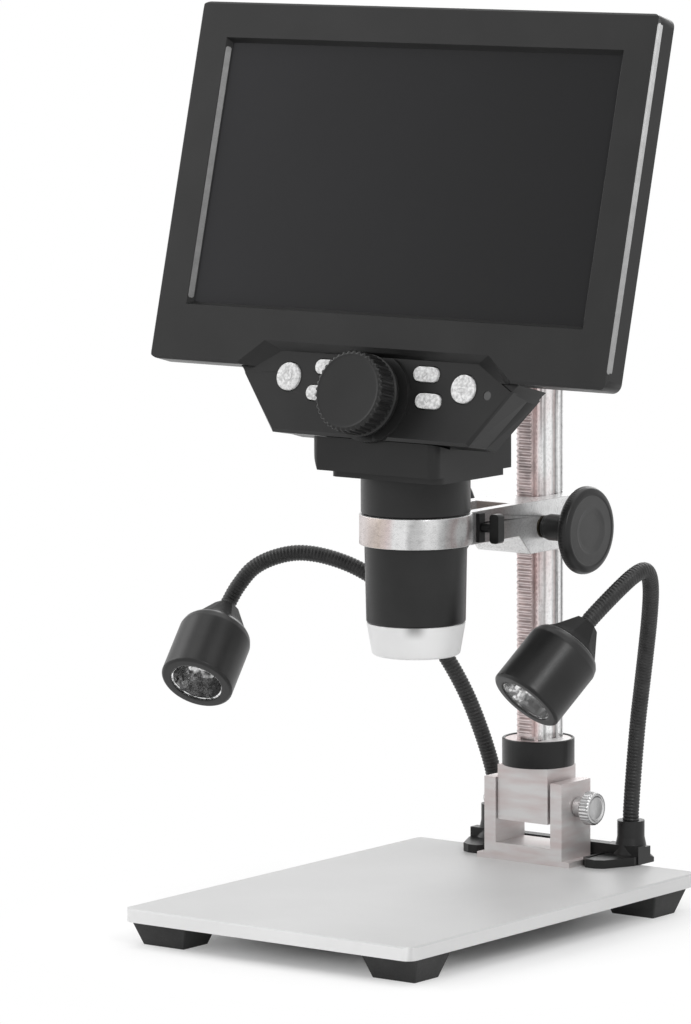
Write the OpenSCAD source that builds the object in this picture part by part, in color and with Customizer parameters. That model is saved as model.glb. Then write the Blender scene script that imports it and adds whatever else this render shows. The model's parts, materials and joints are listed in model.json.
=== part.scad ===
// Desk microscope with a colour screen: the head turns in a ring on a rack and
// pinion carriage, the column tilts in a bracket on the base, and two lamps on
// goosenecks stand behind it. Millimetres, +Z up, +X to the viewer's right, +Y to
// the back. The origin lies on the table under the middle of the base plate.

/* [Base] */
// Width of the base plate
base_w = 113; // [100:1:150]
// Depth of the base plate
base_d = 157.5; // [150:0.5:200]
// Thickness of the base plate
base_t = 4.4; // [3:0.1:8]
// Corner radius of the base plate
base_r = 3.5; // [3:0.5:14]
// Height of the rubber feet
foot_h = 8; // [4:0.5:12]
// Width of a foot where it meets the plate
foot_w = 22; // [16:0.5:26]
// Depth of a foot where it meets the plate
foot_d = 18; // [16:0.5:26]
// How far each side of a foot slopes in
foot_taper = 2.8; // [0.5:0.1:4]
// Radius of the screws under the base
base_screw_r = 2; // [1.5:0.1:2.4]

/* [Tilt bracket] */
// Outer width of the bracket
bracket_w = 31; // [29:0.5:36]
// Thickness of its two walls
bracket_wall = 4.5; // [3.5:0.1:6]
// Depth of the bracket, front to back
bracket_d = 16.5; // [15:0.5:18]
// Height of the bracket above the plate
bracket_h = 27.3; // [26:0.1:34]
// Thickness of the floor between the walls
bracket_floor = 5.6; // [4:0.1:7]
// Width of each side flange
flange_w = 3; // [2:0.5:6]
// Thickness of the flanges
flange_t = 1.8; // [1:0.1:3]
// Distance from the rear edge of the plate to the bracket
bracket_inset = 2.75; // [2:0.25:6]
// Height of the tilt axis above the plate
tilt_h = 18.9; // [18:0.1:21]
// Radius of the tilt screw
tilt_screw_r = 2.7; // [2:0.1:3]
// Radius of the tilt screw's head
tilt_head_r = 5.5; // [4:0.1:8]
// Gap between the tilt block and the right wall
tilt_gap = 1.7; // [0.5:0.1:2]

/* [Column] */
// Width of the column
column_w = 8.8; // [8.6:0.1:9.4]
// Depth of the column
column_d = 14.6; // [14.6:0.1:15]
// Height of the top of the column above the table
column_top = 215; // [200:1:240]
// Radius of the black collar
collar_r = 11.9; // [10.5:0.1:14]
// Height of the collar
collar_h = 9; // [7:0.5:12]
// Width of the rack
rack_w = 5.4; // [4:0.1:6]
// How far the rack stands out of the column
rack_out = 2.2; // [1.8:0.1:2.6]
// Module of the height rack and pinion
rack_m = 0.6; // [0.5:0.05:0.7]
// Teeth on the height pinion
pinion_n = 14; // [13:1:15]

/* [Carriage] */
// Height of the optical axis ring's middle above the table
ring_z = 128; // [120:0.5:140]
// Height of the ring and its arms
ring_h = 10.6; // [9:0.1:12]
// Thickness of the ring wall
ring_wall = 1.6; // [1.5:0.1:3]
// Half width of the carriage
carriage_half_w = 10.6; // [10.2:0.1:12]
// Thickness of each arm
arm_t = 4; // [3:0.1:5]
// Depth of the body below the ring
body_drop = 6.4; // [4:0.1:8]
// Radius of the height knobs
knob_r = 14.3; // [10:0.1:15]
// Thickness of the height knobs
knob_t = 4.5; // [3:0.1:7]
// Distance between the outer faces of the knobs
knob_span = 59.2; // [50:0.2:62]
// Radius of the knob hubs
hub_r = 4.3; // [3.5:0.1:6]

/* [Barrel] */
// Radius of the barrel where it turns in the ring
barrel_r = 16.35; // [15.5:0.05:17]
// Radius of the barrel above the ring
barrel_top_r = 17.5; // [17:0.1:19]
// Length of the barrel above the ring
barrel_top_h = 12.4; // [9:0.1:14]
// Length of the barrel below the ring
barrel_low_h = 23.7; // [20:0.1:28]
// Length of the frosted cap
cap_h = 10.6; // [8:0.1:14]
// Radius of the cap at its foot
cap_foot_r = 14.4; // [11:0.1:15]
// Radius of the opening in the cap
cap_hole_r = 7.5; // [7.3:0.1:9]
// Radius of the lens tube
lens_r = 7; // [6:0.1:7.2]

/* [Screen] */
// Width of the picture area
view_w = 153; // [140:0.5:158]
// Height of the picture area
view_h = 85; // [80:0.5:90]
// Width of the bezel
bezel_w = 179.4; // [176:0.2:190]
// Height of the bezel
bezel_h = 117.5; // [116:0.1:124]
// Depth of the bezel
bezel_d = 8; // [7:0.5:10]
// Depth of the rear shell
shell_d = 16; // [15:0.5:22]
// Distance from the picture's middle down to the bezel's middle
bezel_drop = 3.2; // [2:0.1:5]
// Backward tilt of the screen
screen_tilt = 14.6; // [10:0.1:18]
// Height of the picture's middle above the table
screen_z = 240.5; // [237:0.5:250]
// Distance of the picture's middle from the centre of the base, to the front
screen_front = 6.7; // [5:0.1:10]

/* [Controls] */
// Width of the control panel at its top
panel_top_w = 77; // [74:1:90]
// Width of the panel at its widest
panel_mid_w = 104.4; // [100:0.2:110]
// Width of the panel at its foot
panel_foot_w = 76.2; // [70:0.2:84]
// How far the panel sits behind the bezel's face
panel_sink = 3; // [2:0.5:4]
// Depth of the control housing
panel_d = 11; // [10:0.5:14]
// Radius of the round buttons
round_button_r = 4.5; // [3.5:0.1:5]
// Length of the oval buttons
oval_button_w = 9.6; // [9:0.1:11]
// Height of the oval buttons
oval_button_h = 4.8; // [4:0.1:6]
// How far a button stands out of the panel
button_out = 0.8; // [0.8:0.1:2]
// Radius of the focus wheel
wheel_r = 13.1; // [11:0.1:15]
// Thickness of the focus wheel
wheel_t = 10; // [8:0.5:14]
// Module of the focus rack and pinion
focus_m = 0.5; // [0.4:0.05:0.55]
// Teeth on the focus pinion
focus_n = 10; // [9:1:11]

/* [Lamps] */
// Radius of a lamp
lamp_r = 12.3; // [9:0.1:13]
// Length of a lamp's body
lamp_l = 23.5; // [18:0.5:28]
// Length of the cone behind a lamp
lamp_cone_l = 9.5; // [6:0.5:12]
// Radius of the window in a lamp
lamp_window_r = 8.2; // [6:0.1:8.5]
// Radius of the goosenecks
goose_r = 2.7; // [2:0.1:2.8]
// Distance of each lamp socket from the centre line
socket_x = 27.5; // [27:0.5:32]
// Height of the lamp bar
lamp_bar_h = 6; // [4:0.5:7]

/* [Hidden] */
$fn = 96;
round_fn = 24;
goose_fn = 48;

// Clearances
run = 0.06;       // radial, for a shaft that turns
slide = 0.15;     // between a sliding piece and its guide
loose = 0.3;      // round a button
seat = 0.05;      // between fixed pieces

// Heights and places that follow from the sizes above
plate_top = foot_h + base_t;
rear_y = base_d/2;
foot_inset_x = 0.25;
foot_inset_front = 3.5;
foot_inset_rear = 6.5;
foot_screw_r = 1.5;
bracket_y1 = rear_y - bracket_inset;
bracket_y0 = bracket_y1 - bracket_d;
tilt_y = (bracket_y0 + bracket_y1)/2 + 0.6;
tilt_z = plate_top + tilt_h;
block_x0 = -bracket_w/2 + bracket_wall + loose;
block_x1 = bracket_w/2 - bracket_wall - tilt_gap;
block_half_d = 8;
block_z0 = tilt_z - 5.6;
block_z1 = tilt_z + 12.7;
collar_z1 = block_z1 + collar_h;
column_y = tilt_y + 1.1;
collar_y = column_y - 1.1;
column_y0 = column_y - column_d/2;
column_y1 = column_y + column_d/2;
boss_r = collar_r - 1;

ring_z0 = ring_z - ring_h/2;
ring_z1 = ring_z + ring_h/2;
axis_y = 1;
bore_r = barrel_r + 0.1;
ring_r = bore_r + ring_wall;
rack_tip_y = column_y0 - rack_out;
rack_add = 0.8*rack_m;
pinion_r = rack_m*pinion_n/2;
shaft_y = rack_tip_y + rack_add - pinion_r;
shaft_z = ring_z - 3.4;
shaft_r = 2;
rack_z0 = collar_z1 + 1;
rack_z1 = column_top - 6;
body_z0 = ring_z0 - body_drop;
ring_lift = [1.5, 0.6];    // the ring sits a little higher than its arms
body_y0 = shaft_y - 13.4;
body_y1 = column_y1 + 5.7;
clamp_y = axis_y + ring_r + 2;
clamp_r = 1.5;
pressure_angle = 25;
backlash = 0.16;

barrel_z0 = ring_z0 - barrel_low_h;
barrel_seat_z = ring_z1 + ring_lift[1] + 0.2;
neck_z0 = barrel_seat_z + barrel_top_h;
barrel_in_r = barrel_r - 2;
cap_z0 = barrel_z0 - cap_h;
lens_z0 = barrel_z0 + 3.6;

panel_w = -panel_sink;
panel_top_v = -56.4;
panel_mid_v = -64.3;
panel_foot_v = -81.4;
panel_band = 5.3;         // how far the notch opens out in the bezel
panel_back_w = panel_w - panel_d;
panel_wall = 2.5;
band_v = 2.4;
focus_v = -69.4;
focus_z = screen_z + focus_v*cos(screen_tilt);
focus_r = focus_m*focus_n/2;
focus_add = 0.8*focus_m;
spindle_r = 2.5;
wheel_w0 = 1;
pinion_w0 = -30;
pinion_w1 = -25.5;
button_travel = 0.5;
button_x = 34.3;
button_v = -64.5;
oval_upper = [19.3, -60.7];
oval_lower = [21.5, -69.1];
board_w = panel_w - 7.5;
indicator_gap = 4.7;
indicator_x = button_x + round_button_r + indicator_gap;

neck_half_w = 24.5;
neck_y0 = -22;
neck_y1 = 19;
neck_top = screen_z - 54.5;
neck_step = [4.4, 2];
neck_corner = 3;
flare_w = -19.5;

glass_t = 1;
glass_w0 = -2.2;
lcd_t = 4.5;
lcd_half = [82, 49];
// Slots in the left side of the rear shell: place up the screen, length, thickness
ports = [[-10, 15, 5], [8, 12, 2.4], [22, 9, 4]];

// Lamp bar behind the bracket
bar_y0 = bracket_y1 + 1;
bar_y1 = bar_y0 + 4;
bar_end = 6.4;             // from a socket's middle to the end of the bar
bar_pad = [7, 5.6];        // depth and height of the pad under a socket
socket_y = rear_y + 3.25;
socket_r = 4.5;
socket_z1 = plate_top + 13.8;
skirt_r = 7.6;
prong_x0 = bracket_w/2 + flange_w + 0.4;
prong_x1 = prong_x0 + 14.5;
prong_y0 = bracket_y0 + 4.5;
prong_t = 2.8;

// Goosenecks: points along the middle of the tube, from socket to lamp
ball_r = 2.2;
knee_r = 1.04*goose_r;
socket_gap = goose_r;     // where the next length starts, past the ball
bend_at = [4, 10];        // which points of a smoothed route are bends
// Front of each lamp and the way it points, as angles from +Z and round Z
right_lamp_at = [36.2, 10, 75.4];
right_lamp_turn = [0, 133.4, -109.2];
left_lamp_at = [-100.4, 14.4, 68.4];
left_lamp_turn = [0, 132, -76.4];
right_route = smooth([[socket_x, socket_y, socket_z1 + 1.8], [28.2, socket_y, 38], [31, 81, 60],
    [37.5, 76, 84], [45.8, 66.5, 104.8], [49, 58, 113], [48.2, 46, 108.8],
    lamp_tail(right_lamp_at, right_lamp_turn)]);
left_route = smooth([[-socket_x, socket_y, socket_z1 + 1.8], [-28.4, socket_y, 38],
    [-36.4, 78.5, 62.5], [-50.2, 72.5, 86], [-67.3, 63, 103], [-86, 53, 109],
    [-100.2, 45.2, 103.6], lamp_tail(left_lamp_at, left_lamp_turn)]);

black = [0.13, 0.13, 0.13];
silver = [0.8, 0.79, 0.79];

// ---------- helpers ----------
module round_rect(w, d, r) {
    square([w - 2*r, d], center = true);
    square([w, d - 2*r], center = true);
    for (x = [-1, 1], y = [-1, 1]) translate([x*(w/2 - r), y*(d/2 - r)]) circle(r);
}

// A block whose four sides slope in by t towards z = 0
module sloped_block(w, d, h, t) {
    intersection() {
        rotate([90, 0, 0]) linear_extrude(d + 1, center = true)
            polygon([[-w/2 + t, 0], [w/2 - t, 0], [w/2, h], [-w/2, h]]);
        rotate([90, 0, 90]) linear_extrude(w + 1, center = true)
            polygon([[-d/2 + t, 0], [d/2 - t, 0], [d/2, h], [-d/2, h]]);
    }
}

// A plate from z = -h to 0 with rounded corners and its front edges cut at 45 degrees
module eased_plate(w, d, h, r, e) {
    intersection() {
        translate([0, 0, -h]) linear_extrude(h) round_rect(w, d, r);
        rotate([90, 0, 0]) linear_extrude(d + 1, center = true)
            polygon([[-w/2, -h], [w/2, -h], [w/2, -e], [w/2 - e, 0], [-w/2 + e, 0], [-w/2, -e]]);
        rotate([90, 0, 90]) linear_extrude(w + 1, center = true)
            polygon([[-d/2, -h], [d/2, -h], [d/2, -e], [d/2 - e, 0], [-d/2 + e, 0], [-d/2, -e]]);
    }
}

module along_x(x0, x1, y, z, r) {
    translate([x0, y, z]) rotate([0, 90, 0]) cylinder(r = r, h = x1 - x0);
}

// The screen's own frame: x to the right, y up the screen, z out of its face
module on_screen() {
    translate([0, -screen_front, screen_z]) rotate([90 - screen_tilt, 0, 0]) children();
}

function involute(rb, r) = tan(acos(rb/r))*180/PI - acos(rb/r);

// Outline of a spur pinion of module m with n teeth, one tooth on the x axis
function pinion_points(m, n) =
    let (rp = m*n/2, rb = rp*cos(pressure_angle), ra = rp + 0.8*m, rd = rp - 1.15*m,
        half = 90/n - backlash/2/rp*180/PI,
        steps = [for (i = [0:4]) max(rb, rd) + (ra - max(rb, rd))*i/4],
        spread = [for (r = steps) half + involute(rb, rp) - involute(rb, r)])
    [for (k = [0:n - 1]) let (a = 360*k/n) each concat(
        [rd*[cos(a - spread[0]), sin(a - spread[0])]],
        [for (i = [0:4]) steps[i]*[cos(a - spread[i]), sin(a - spread[i])]],
        [for (i = [4:-1:0]) steps[i]*[cos(a + spread[i]), sin(a + spread[i])]],
        [rd*[cos(a + spread[0]), sin(a + spread[0])]])];

// Outline of a rack whose tips point to -x from x = 0, with a gap centred on y = at
function rack_points(m, y0, y1, depth, at) =
    let (p = PI*m, add = 0.8*m, ded = 1.05*m,
        flat = p/4 - backlash/4,
        tip = flat - add*tan(pressure_angle), root = flat + ded*tan(pressure_angle),
        first = ceil((y0 + root - at)/p - 0.5), last = floor((y1 - root - at)/p - 0.5))
    concat([[depth, y0], [add + ded, y0]],
        [for (k = [first:last]) let (c = at + (k + 0.5)*p) each
            [[add + ded, c - root], [0, c - tip], [0, c + tip], [add + ded, c + root]]],
        [[add + ded, y1], [depth, y1]]);

// ---------- base ----------
module base_screw_places() {
    for (x = [-1, 1]) {
        translate([x*6, bracket_y0 + bracket_d/2, 0]) children();
        translate([x*(prong_x0 + 5.5), bracket_y0 + bracket_d/2 + 2, 0]) children();
    }
}

module base_plate() {
    color(silver) difference() {
        translate([0, 0, plate_top]) eased_plate(base_w, base_d, base_t, base_r, 0.5);
        base_screw_places() {
            translate([0, 0, foot_h - 1]) cylinder(r = base_screw_r + seat, h = base_t + 2);
            translate([0, 0, foot_h - 1]) cylinder(r = 1.8*base_screw_r + seat, h = 3.2);
        }
        for (x = [-1, 1], y = [-1, 1]) at_foot(x, y)
            translate([0, 0, foot_h - 1]) cylinder(r = foot_screw_r + seat, h = 4);
    }
}

module at_foot(x, y) {
    inset = y < 0 ? foot_inset_front : foot_inset_rear;
    translate([x*(base_w/2 - foot_inset_x - foot_w/2), y*(base_d/2 - inset - foot_d/2), 0])
        children();
}

module foot(x, y) {
    color(black) at_foot(x, y) difference() {
        sloped_block(foot_w, foot_d, foot_h, foot_taper);
        translate([0, 0, -1]) cylinder(r = foot_screw_r*2.2, h = foot_h/2 + 1);
        cylinder(r = foot_screw_r + seat, h = foot_h + 1);
    }
}
module foot_front_left() { foot(-1, -1); }
module foot_front_right() { foot(1, -1); }
module foot_rear_left() { foot(-1, 1); }
module foot_rear_right() { foot(1, 1); }

module foot_screws() {
    color("dimgray") for (x = [-1, 1], y = [-1, 1]) at_foot(x, y) {
        difference() {
            translate([0, 0, foot_h/2 - 1.4]) cylinder(r = foot_screw_r*2.1, h = 1.4);
            translate([-2, -0.4, foot_h/2 - 2]) cube([4, 0.8, 1.2]);
        }
        translate([0, 0, foot_h/2 - 0.1]) cylinder(r = foot_screw_r, h = foot_h/2 + 2.5);
    }
}

module base_screws() {
    color("dimgray") base_screw_places() {
        difference() {
            translate([0, 0, foot_h + 0.2]) cylinder(r = 1.8*base_screw_r, h = 2);
            translate([0, 0, foot_h]) cylinder(r = base_screw_r*0.8, h = 1.4, $fn = 6);
        }
        translate([0, 0, foot_h + 1]) cylinder(r = base_screw_r, h = plate_top - foot_h + 1);
    }
}

module tilt_bracket() {
    mid_y = (bracket_y0 + bracket_y1)/2;
    color(silver) difference() {
        translate([0, mid_y, plate_top]) {
            translate([0, 0, bracket_h/2]) cube([bracket_w, bracket_d, bracket_h], center = true);
            translate([0, 0, flange_t/2])
                cube([bracket_w + 2*flange_w, bracket_d, flange_t], center = true);
        }
        translate([-(bracket_w/2 - bracket_wall), bracket_y0 - 1, plate_top + bracket_floor])
            cube([bracket_w - 2*bracket_wall, bracket_d + 2, bracket_h]);
        along_x(-bracket_w, bracket_w, tilt_y, tilt_z, tilt_screw_r + run);
        base_screw_places() cylinder(r = base_screw_r + seat, h = plate_top + 2.2);
    }
}

module tilt_screw() {
    head_x = bracket_w/2 + 3.8;
    color(silver) difference() {
        union() {
            along_x(-bracket_w/2 - 5, head_x, tilt_y, tilt_z, tilt_screw_r);
            along_x(bracket_w/2 + 0.2, head_x + 0.1, tilt_y, tilt_z, tilt_screw_r + 0.6);
            along_x(head_x, head_x + 4, tilt_y, tilt_z, tilt_head_r);
            along_x(-bracket_w/2 - 4, -bracket_w/2 - 0.2, tilt_y, tilt_z, 4.4);
        }
        for (a = [0:15:345]) translate([head_x, tilt_y, tilt_z]) rotate([a, 0, 0])
            translate([-0.5, tilt_head_r + 0.15, 0]) rotate([0, 90, 0]) cylinder(r = 0.45, h = 6, $fn = 16);
    }
}

// ---------- column ----------
module tilt_block() {
    color(silver) difference() {
        union() {
            translate([block_x0, tilt_y - block_half_d, block_z0])
                cube([block_x1 - block_x0, 2*block_half_d, block_z1 - block_z0]);
            translate([0, collar_y, block_z1]) cylinder(r = boss_r, h = collar_h - 0.4);
        }
        translate([0, column_y, block_z1 + collar_h/2])
            cube([column_w + 2*seat, column_d + 2*seat, collar_h], center = true);
        along_x(-bracket_w/2, bracket_w/2, tilt_y, tilt_z, tilt_screw_r + run);
    }
}

module column_collar() {
    color(black) translate([0, collar_y, block_z1]) difference() {
        cylinder(r = collar_r, h = collar_h);
        translate([0, 0, -1]) cylinder(r = boss_r + seat, h = collar_h + 2);
    }
}

// Right half of the column's section, from its front face backwards
function column_side() = let (h = column_w/2) [
    [rack_w/2 + seat, 0], [h - 0.3, 0], [h - 0.3, 0.4], [h - 0.9, 0.7], [h - 0.9, 2],
    [h, 2.5], [h, 7.6], [h - 0.5, 7.9], [h - 0.5, 11], [h, 11.3], [h, 12.8],
    [h - 0.4, 12.9], [h - 0.4, 13.5], [h, 13.6], [h, column_d - 0.5], [h - 0.5, column_d]];
rack_slot = 1.5;

module column() {
    side = column_side();
    points = concat([[0, rack_slot], [rack_w/2 + seat, rack_slot]], side);
    n = len(points);
    color(silver) translate([0, column_y0, block_z1]) linear_extrude(column_top - block_z1)
        polygon(concat(points, [for (i = [n - 1:-1:1]) [-points[i][0], points[i][1]]]));
}

module rack() {
    depth = rack_out + rack_slot - seat;
    color("rosybrown") translate([-rack_w/2, rack_tip_y, 0]) rotate([90, 0, 90])
        linear_extrude(rack_w) polygon(rack_points(rack_m, rack_z0, rack_z1, depth, shaft_z));
}

module column_cap() {
    color(black) translate([0, column_y, column_top]) difference() {
        translate([0, 0, 2.5]) rotate([180, 0, 0]) translate([0, 0, 5.5])
            eased_plate(column_w + 3, column_d + 3, 5.5, 1.5, 0.6);
        translate([0, 0, -2.5]) cube([column_w + 2*seat, column_d + 2*seat, 5], center = true);
    }
}

// ---------- carriage ----------
module carriage() {
    passage_w = column_w/2 + slide;
    color(silver) difference() {
        union() {
            translate([0, axis_y, ring_z0 + ring_lift[0]])
                cylinder(r = ring_r, h = ring_h - ring_lift[0] + ring_lift[1]);
            for (x = [-1, 1]) translate([x*(carriage_half_w - arm_t/2), 0, ring_z])
                translate([-arm_t/2, axis_y + 0.6*ring_r, -ring_h/2])
                    cube([arm_t, body_y0 - axis_y - 0.6*ring_r + 1, ring_h]);
            rotate([90, 0, 90]) linear_extrude(2*carriage_half_w, center = true)
                polygon([[body_y0, ring_z1], [body_y0, ring_z0], [body_y0 + body_drop, body_z0],
                    [body_y1, body_z0], [body_y1, ring_z1]]);
        }
        translate([0, axis_y, ring_z0 - 1]) cylinder(r = bore_r, h = ring_h + 2);
        translate([-0.9, axis_y, ring_z0 - 1]) cube([1.8, ring_r + 1, ring_h + 2]);
        translate([-passage_w, column_y0 - slide, body_z0 - 1])
            cube([2*passage_w, column_d + 2*slide, ring_z1 - body_z0 + 2]);
        translate([-rack_w/2 - 0.3, rack_tip_y - 0.6, body_z0 - 1])
            cube([rack_w + 0.6, rack_out + 1, ring_z1 - body_z0 + 2]);
        along_x(-rack_w/2 - 0.3, rack_w/2 + 0.3, shaft_y, shaft_z, pinion_r + rack_m + 0.4);
        along_x(-carriage_half_w - 1, carriage_half_w + 1, shaft_y, shaft_z, shaft_r + 0.4);
        for (x = [-1, 1]) along_x(x > 0 ? carriage_half_w - 4 : -carriage_half_w - 1,
            x > 0 ? carriage_half_w + 1 : 4 - carriage_half_w, shaft_y, shaft_z, shaft_r + 1.5);
        along_x(-carriage_half_w - 1, carriage_half_w + 1, clamp_y, ring_z, clamp_r + run);
    }
}

module shaft_bushes() {
    color("goldenrod") for (x = [-1, 1]) difference() {
        along_x(x > 0 ? carriage_half_w - 4 : -carriage_half_w - 0.4,
            x > 0 ? carriage_half_w + 0.4 : 4 - carriage_half_w, shaft_y, shaft_z, shaft_r + 1.5 - 0.02);
        along_x(-carriage_half_w - 2, carriage_half_w + 2, shaft_y, shaft_z, shaft_r + run);
    }
}

module clamp_plates() {
    color(black) difference() {
        union() {
            translate([carriage_half_w, clamp_y - 2, ring_z - 4.7]) cube([1.3, 3.2, 9.4]);
            translate([-carriage_half_w - 2.4, clamp_y - 2.8, ring_z - 2.8]) cube([2.4, 5.6, 5.6]);
        }
        along_x(-carriage_half_w - 6, carriage_half_w + 3, clamp_y, ring_z, clamp_r + run);
    }
}

module clamp_screw() {
    bar_x = carriage_half_w + 5;
    color(black) {
        along_x(-carriage_half_w - 1.8, bar_x + 1, clamp_y, ring_z, clamp_r);
        translate([bar_x + 1.75, clamp_y, ring_z]) rotate([90, 0, 0])
            linear_extrude(3.2, center = true) round_rect(3.5, 9.4, 1.2);
    }
}

module height_shaft() {
    end = knob_span/2 - 1;
    color("silver") along_x(-end, end, shaft_y, shaft_z, shaft_r);
}

module height_pinion() {
    color("goldenrod") difference() {
        translate([0, shaft_y, shaft_z]) rotate([90, 0, 90])
            linear_extrude(rack_w - 0.2, center = true) polygon(pinion_points(rack_m, pinion_n));
        along_x(-rack_w, rack_w, shaft_y, shaft_z, shaft_r);
    }
}

// Half section of a knob, from its hub end to its outer face, radius against length
module height_knob(side) {
    face = knob_span/2;
    hub0 = carriage_half_w + 1.2;
    dish = 6.9;
    color(black) translate([0, shaft_y, shaft_z]) rotate([0, side*90, 0]) difference() {
        rotate_extrude() polygon([[0, hub0], [hub_r - 0.4, hub0], [hub_r - 0.4, hub0 + 1.4],
            [hub_r, hub0 + 1.4], [hub_r, face - knob_t], [knob_r - 1.2, face - knob_t],
            [knob_r, face - knob_t + 1.2], [knob_r, face - 1.6], [knob_r - 0.5, face - 0.5],
            [knob_r - 1.6, face], [dish + 1, face], [dish, face - 0.6], [0, face - 0.6]]);
        translate([0, 0, hub0 - 1]) cylinder(r = shaft_r, h = face - hub0);
    }
}
module height_knob_left() { height_knob(-1); }
module height_knob_right() { height_knob(1); }

// ---------- screen ----------
// The panel's six corners, grown by side all round and by foot below
function panel_points(side, foot = 0) = [
    [-panel_top_w/2 - side, panel_top_v + side*0.49], [panel_top_w/2 + side, panel_top_v + side*0.49],
    [panel_mid_w/2 + side, panel_mid_v], [panel_foot_w/2 + side, panel_foot_v - foot],
    [-panel_foot_w/2 - side, panel_foot_v - foot], [-panel_mid_w/2 - side, panel_mid_v]];

// What the bezel leaves free for the panel, open at its foot
function notch_points(grow) = let (p = panel_points(grow)) [
    p[0], p[1], p[2], [p[2][0], -90], [p[5][0], -90], p[5]];

// What the neck leaves free for it, open at the top
function tray_points(side, foot) = let (p = panel_points(side, foot)) [
    [p[5][0], 0], [p[2][0], 0], p[2], p[3], p[4], p[5]];

module slice(w, points) {
    translate([0, 0, w]) linear_extrude(0.01) polygon(points);
}

module panel_void() {
    hull() {
        slice(0, notch_points(panel_band + 0.02));
        slice(panel_w, notch_points(0));
    }
    translate([0, 0, panel_back_w - seat]) linear_extrude(panel_d + seat)
        polygon(notch_points(0.45));
}

module front_bezel() {
    bevel = 1.3;
    color(black) on_screen() difference() {
        translate([0, -bezel_drop, 0]) eased_plate(bezel_w, bezel_h, bezel_d, 3, 0.7);
        translate([0, 0, glass_w0])
            sloped_block(view_w + 2*bevel, view_h + 2*bevel, -glass_w0 + 0.01, bevel);
        translate([0, 0, -bezel_d/2 + glass_w0])
            cube([2*lcd_half[0] + 1, 2*lcd_half[1] + 1, bezel_d], center = true);
        panel_void();
    }
}

module screen_glass() {
    color([0.1, 0.1, 0.12]) on_screen() translate([0, 0, glass_w0 - glass_t/2 - 0.02])
        cube([2*lcd_half[0], 2*lcd_half[1], glass_t], center = true);
}

module lcd_panel() {
    color("dimgray") on_screen() translate([0, 0, glass_w0 - glass_t - lcd_t/2 - 0.04])
        cube([2*lcd_half[0], 2*lcd_half[1], lcd_t], center = true);
}

// The rear shell narrows evenly from the bezel to its back
module shell_solid(inset) {
    w = bezel_w - 1.6 - 2*inset;
    h = bezel_h - 1.6 - 2*inset;
    cut = 1.6*(shell_d - inset);
    hull() {
        translate([0, 0, -bezel_d - 0.01]) linear_extrude(0.01) round_rect(w, h, 3, $fn = round_fn);
        translate([0, 0, -bezel_d - shell_d + inset]) linear_extrude(0.01)
            round_rect(w - cut, h - cut, 3, $fn = round_fn);
    }
}

module rear_shell() {
    back = -bezel_d - shell_d;
    color(black) on_screen() difference() {
        translate([0, -bezel_drop, 0]) shell_solid(0);
        translate([0, -bezel_drop, 0.02]) shell_solid(2);
        panel_void();
        for (i = [-5:5]) translate([i*6, 20, back]) cube([2, 22, 6], center = true);
        shell_screw_places() translate([0, 0, back - 1]) cylinder(r = 3.1, h = 2.2);
        shell_screw_places() translate([0, 0, back - 1]) cylinder(r = 1.6, h = 5);
        for (p = ports) translate([-bezel_w/2, p[0], -bezel_d - 5]) cube([16, p[1], p[2]], center = true);
        translate([-bezel_w/2, -30, -bezel_d - 5.5]) rotate([0, 90, 0])
            cylinder(r = 3, h = 16, center = true);
    }
}

module shell_screw_places() {
    for (x = [-68, 68]) translate([x, -43, 0]) children();
    for (x = [-68, 0, 68]) translate([x, 36, 0]) children();
}

module shell_screws() {
    back = -bezel_d - shell_d;
    color("dimgray") on_screen() shell_screw_places() difference() {
        union() {
            translate([0, 0, back + 0.1]) cylinder(r = 2.9, h = 1.05);
            translate([0, 0, back + 0.1]) cylinder(r = 1.5, h = 6);
        }
        translate([0, 0, back - 0.4]) cylinder(r = 1.2, h = 1.2, $fn = 6);
    }
}

module main_board() {
    w = -bezel_d - 4;
    color("darkgreen") on_screen() {
        translate([0, 8, w]) cube([120, 62, 1.6], center = true);
        translate([-22, 12, w - 1.7]) cube([16, 16, 1.8], center = true);
        translate([14, 20, w - 1.4]) cube([12, 10, 1.2], center = true);
        for (v = [-12, 0, 12]) translate([-56, v + 6, w - 2.3]) cube([10, 9, 3], center = true);
    }
}

// ---------- controls ----------
module control_housing() {
    color(black) on_screen() difference() {
        union() {
            hull() {
                slice(panel_w - 0.01, panel_points(0));
                slice(panel_w - 1.2, panel_points(0.35, 1));
                slice(panel_back_w, panel_points(0, 0.2));
            }
            intersection() {
                translate([0, focus_v, panel_w - 1]) cylinder(r = wheel_r + 1.2, h = 2.5);
                translate([-50, panel_top_v - 40.3, panel_w - 1]) cube([100, 40, 3]);
            }
        }
        translate([0, 0, panel_back_w + 2]) linear_extrude(panel_d - 2 - panel_wall)
            polygon(panel_points(-2, -2));
        translate([0, focus_v, panel_back_w - 1]) cylinder(r = spindle_r + run, h = panel_d + 4);
        for (x = [-1, 1]) {
            translate([x*button_x, button_v, panel_w - 4]) cylinder(r = round_button_r + loose, h = 6);
            for (p = [oval_upper, oval_lower]) translate([x*p[0], p[1], panel_w - 4]) linear_extrude(6)
                round_rect(oval_button_w + 2*loose, oval_button_h + 2*loose, 2.4);
        }
        translate([indicator_x, -66, panel_w - 4]) cylinder(r = 1.5, h = 6);
    }
}

module indicator_window() {
    color("darkslategray") on_screen() translate([indicator_x, -66, panel_w - 2.4]) cylinder(r = 1.45, h = 2.2);
}

module button_board() {
    color("darkgreen") on_screen() {
        difference() {
            translate([0, -65.5, board_w]) cube([72, 14, 1.2], center = true);
            translate([0, focus_v, board_w - 2]) cylinder(r = spindle_r + 1, h = 4);
        }
        for (x = [-1, 1], p = [[button_x, button_v], oval_upper, oval_lower])
            translate([x*p[0], max(p[1], -68.5), board_w + 1.6]) cube([3.4, 3, 2.2], center = true);
    }
}

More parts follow.
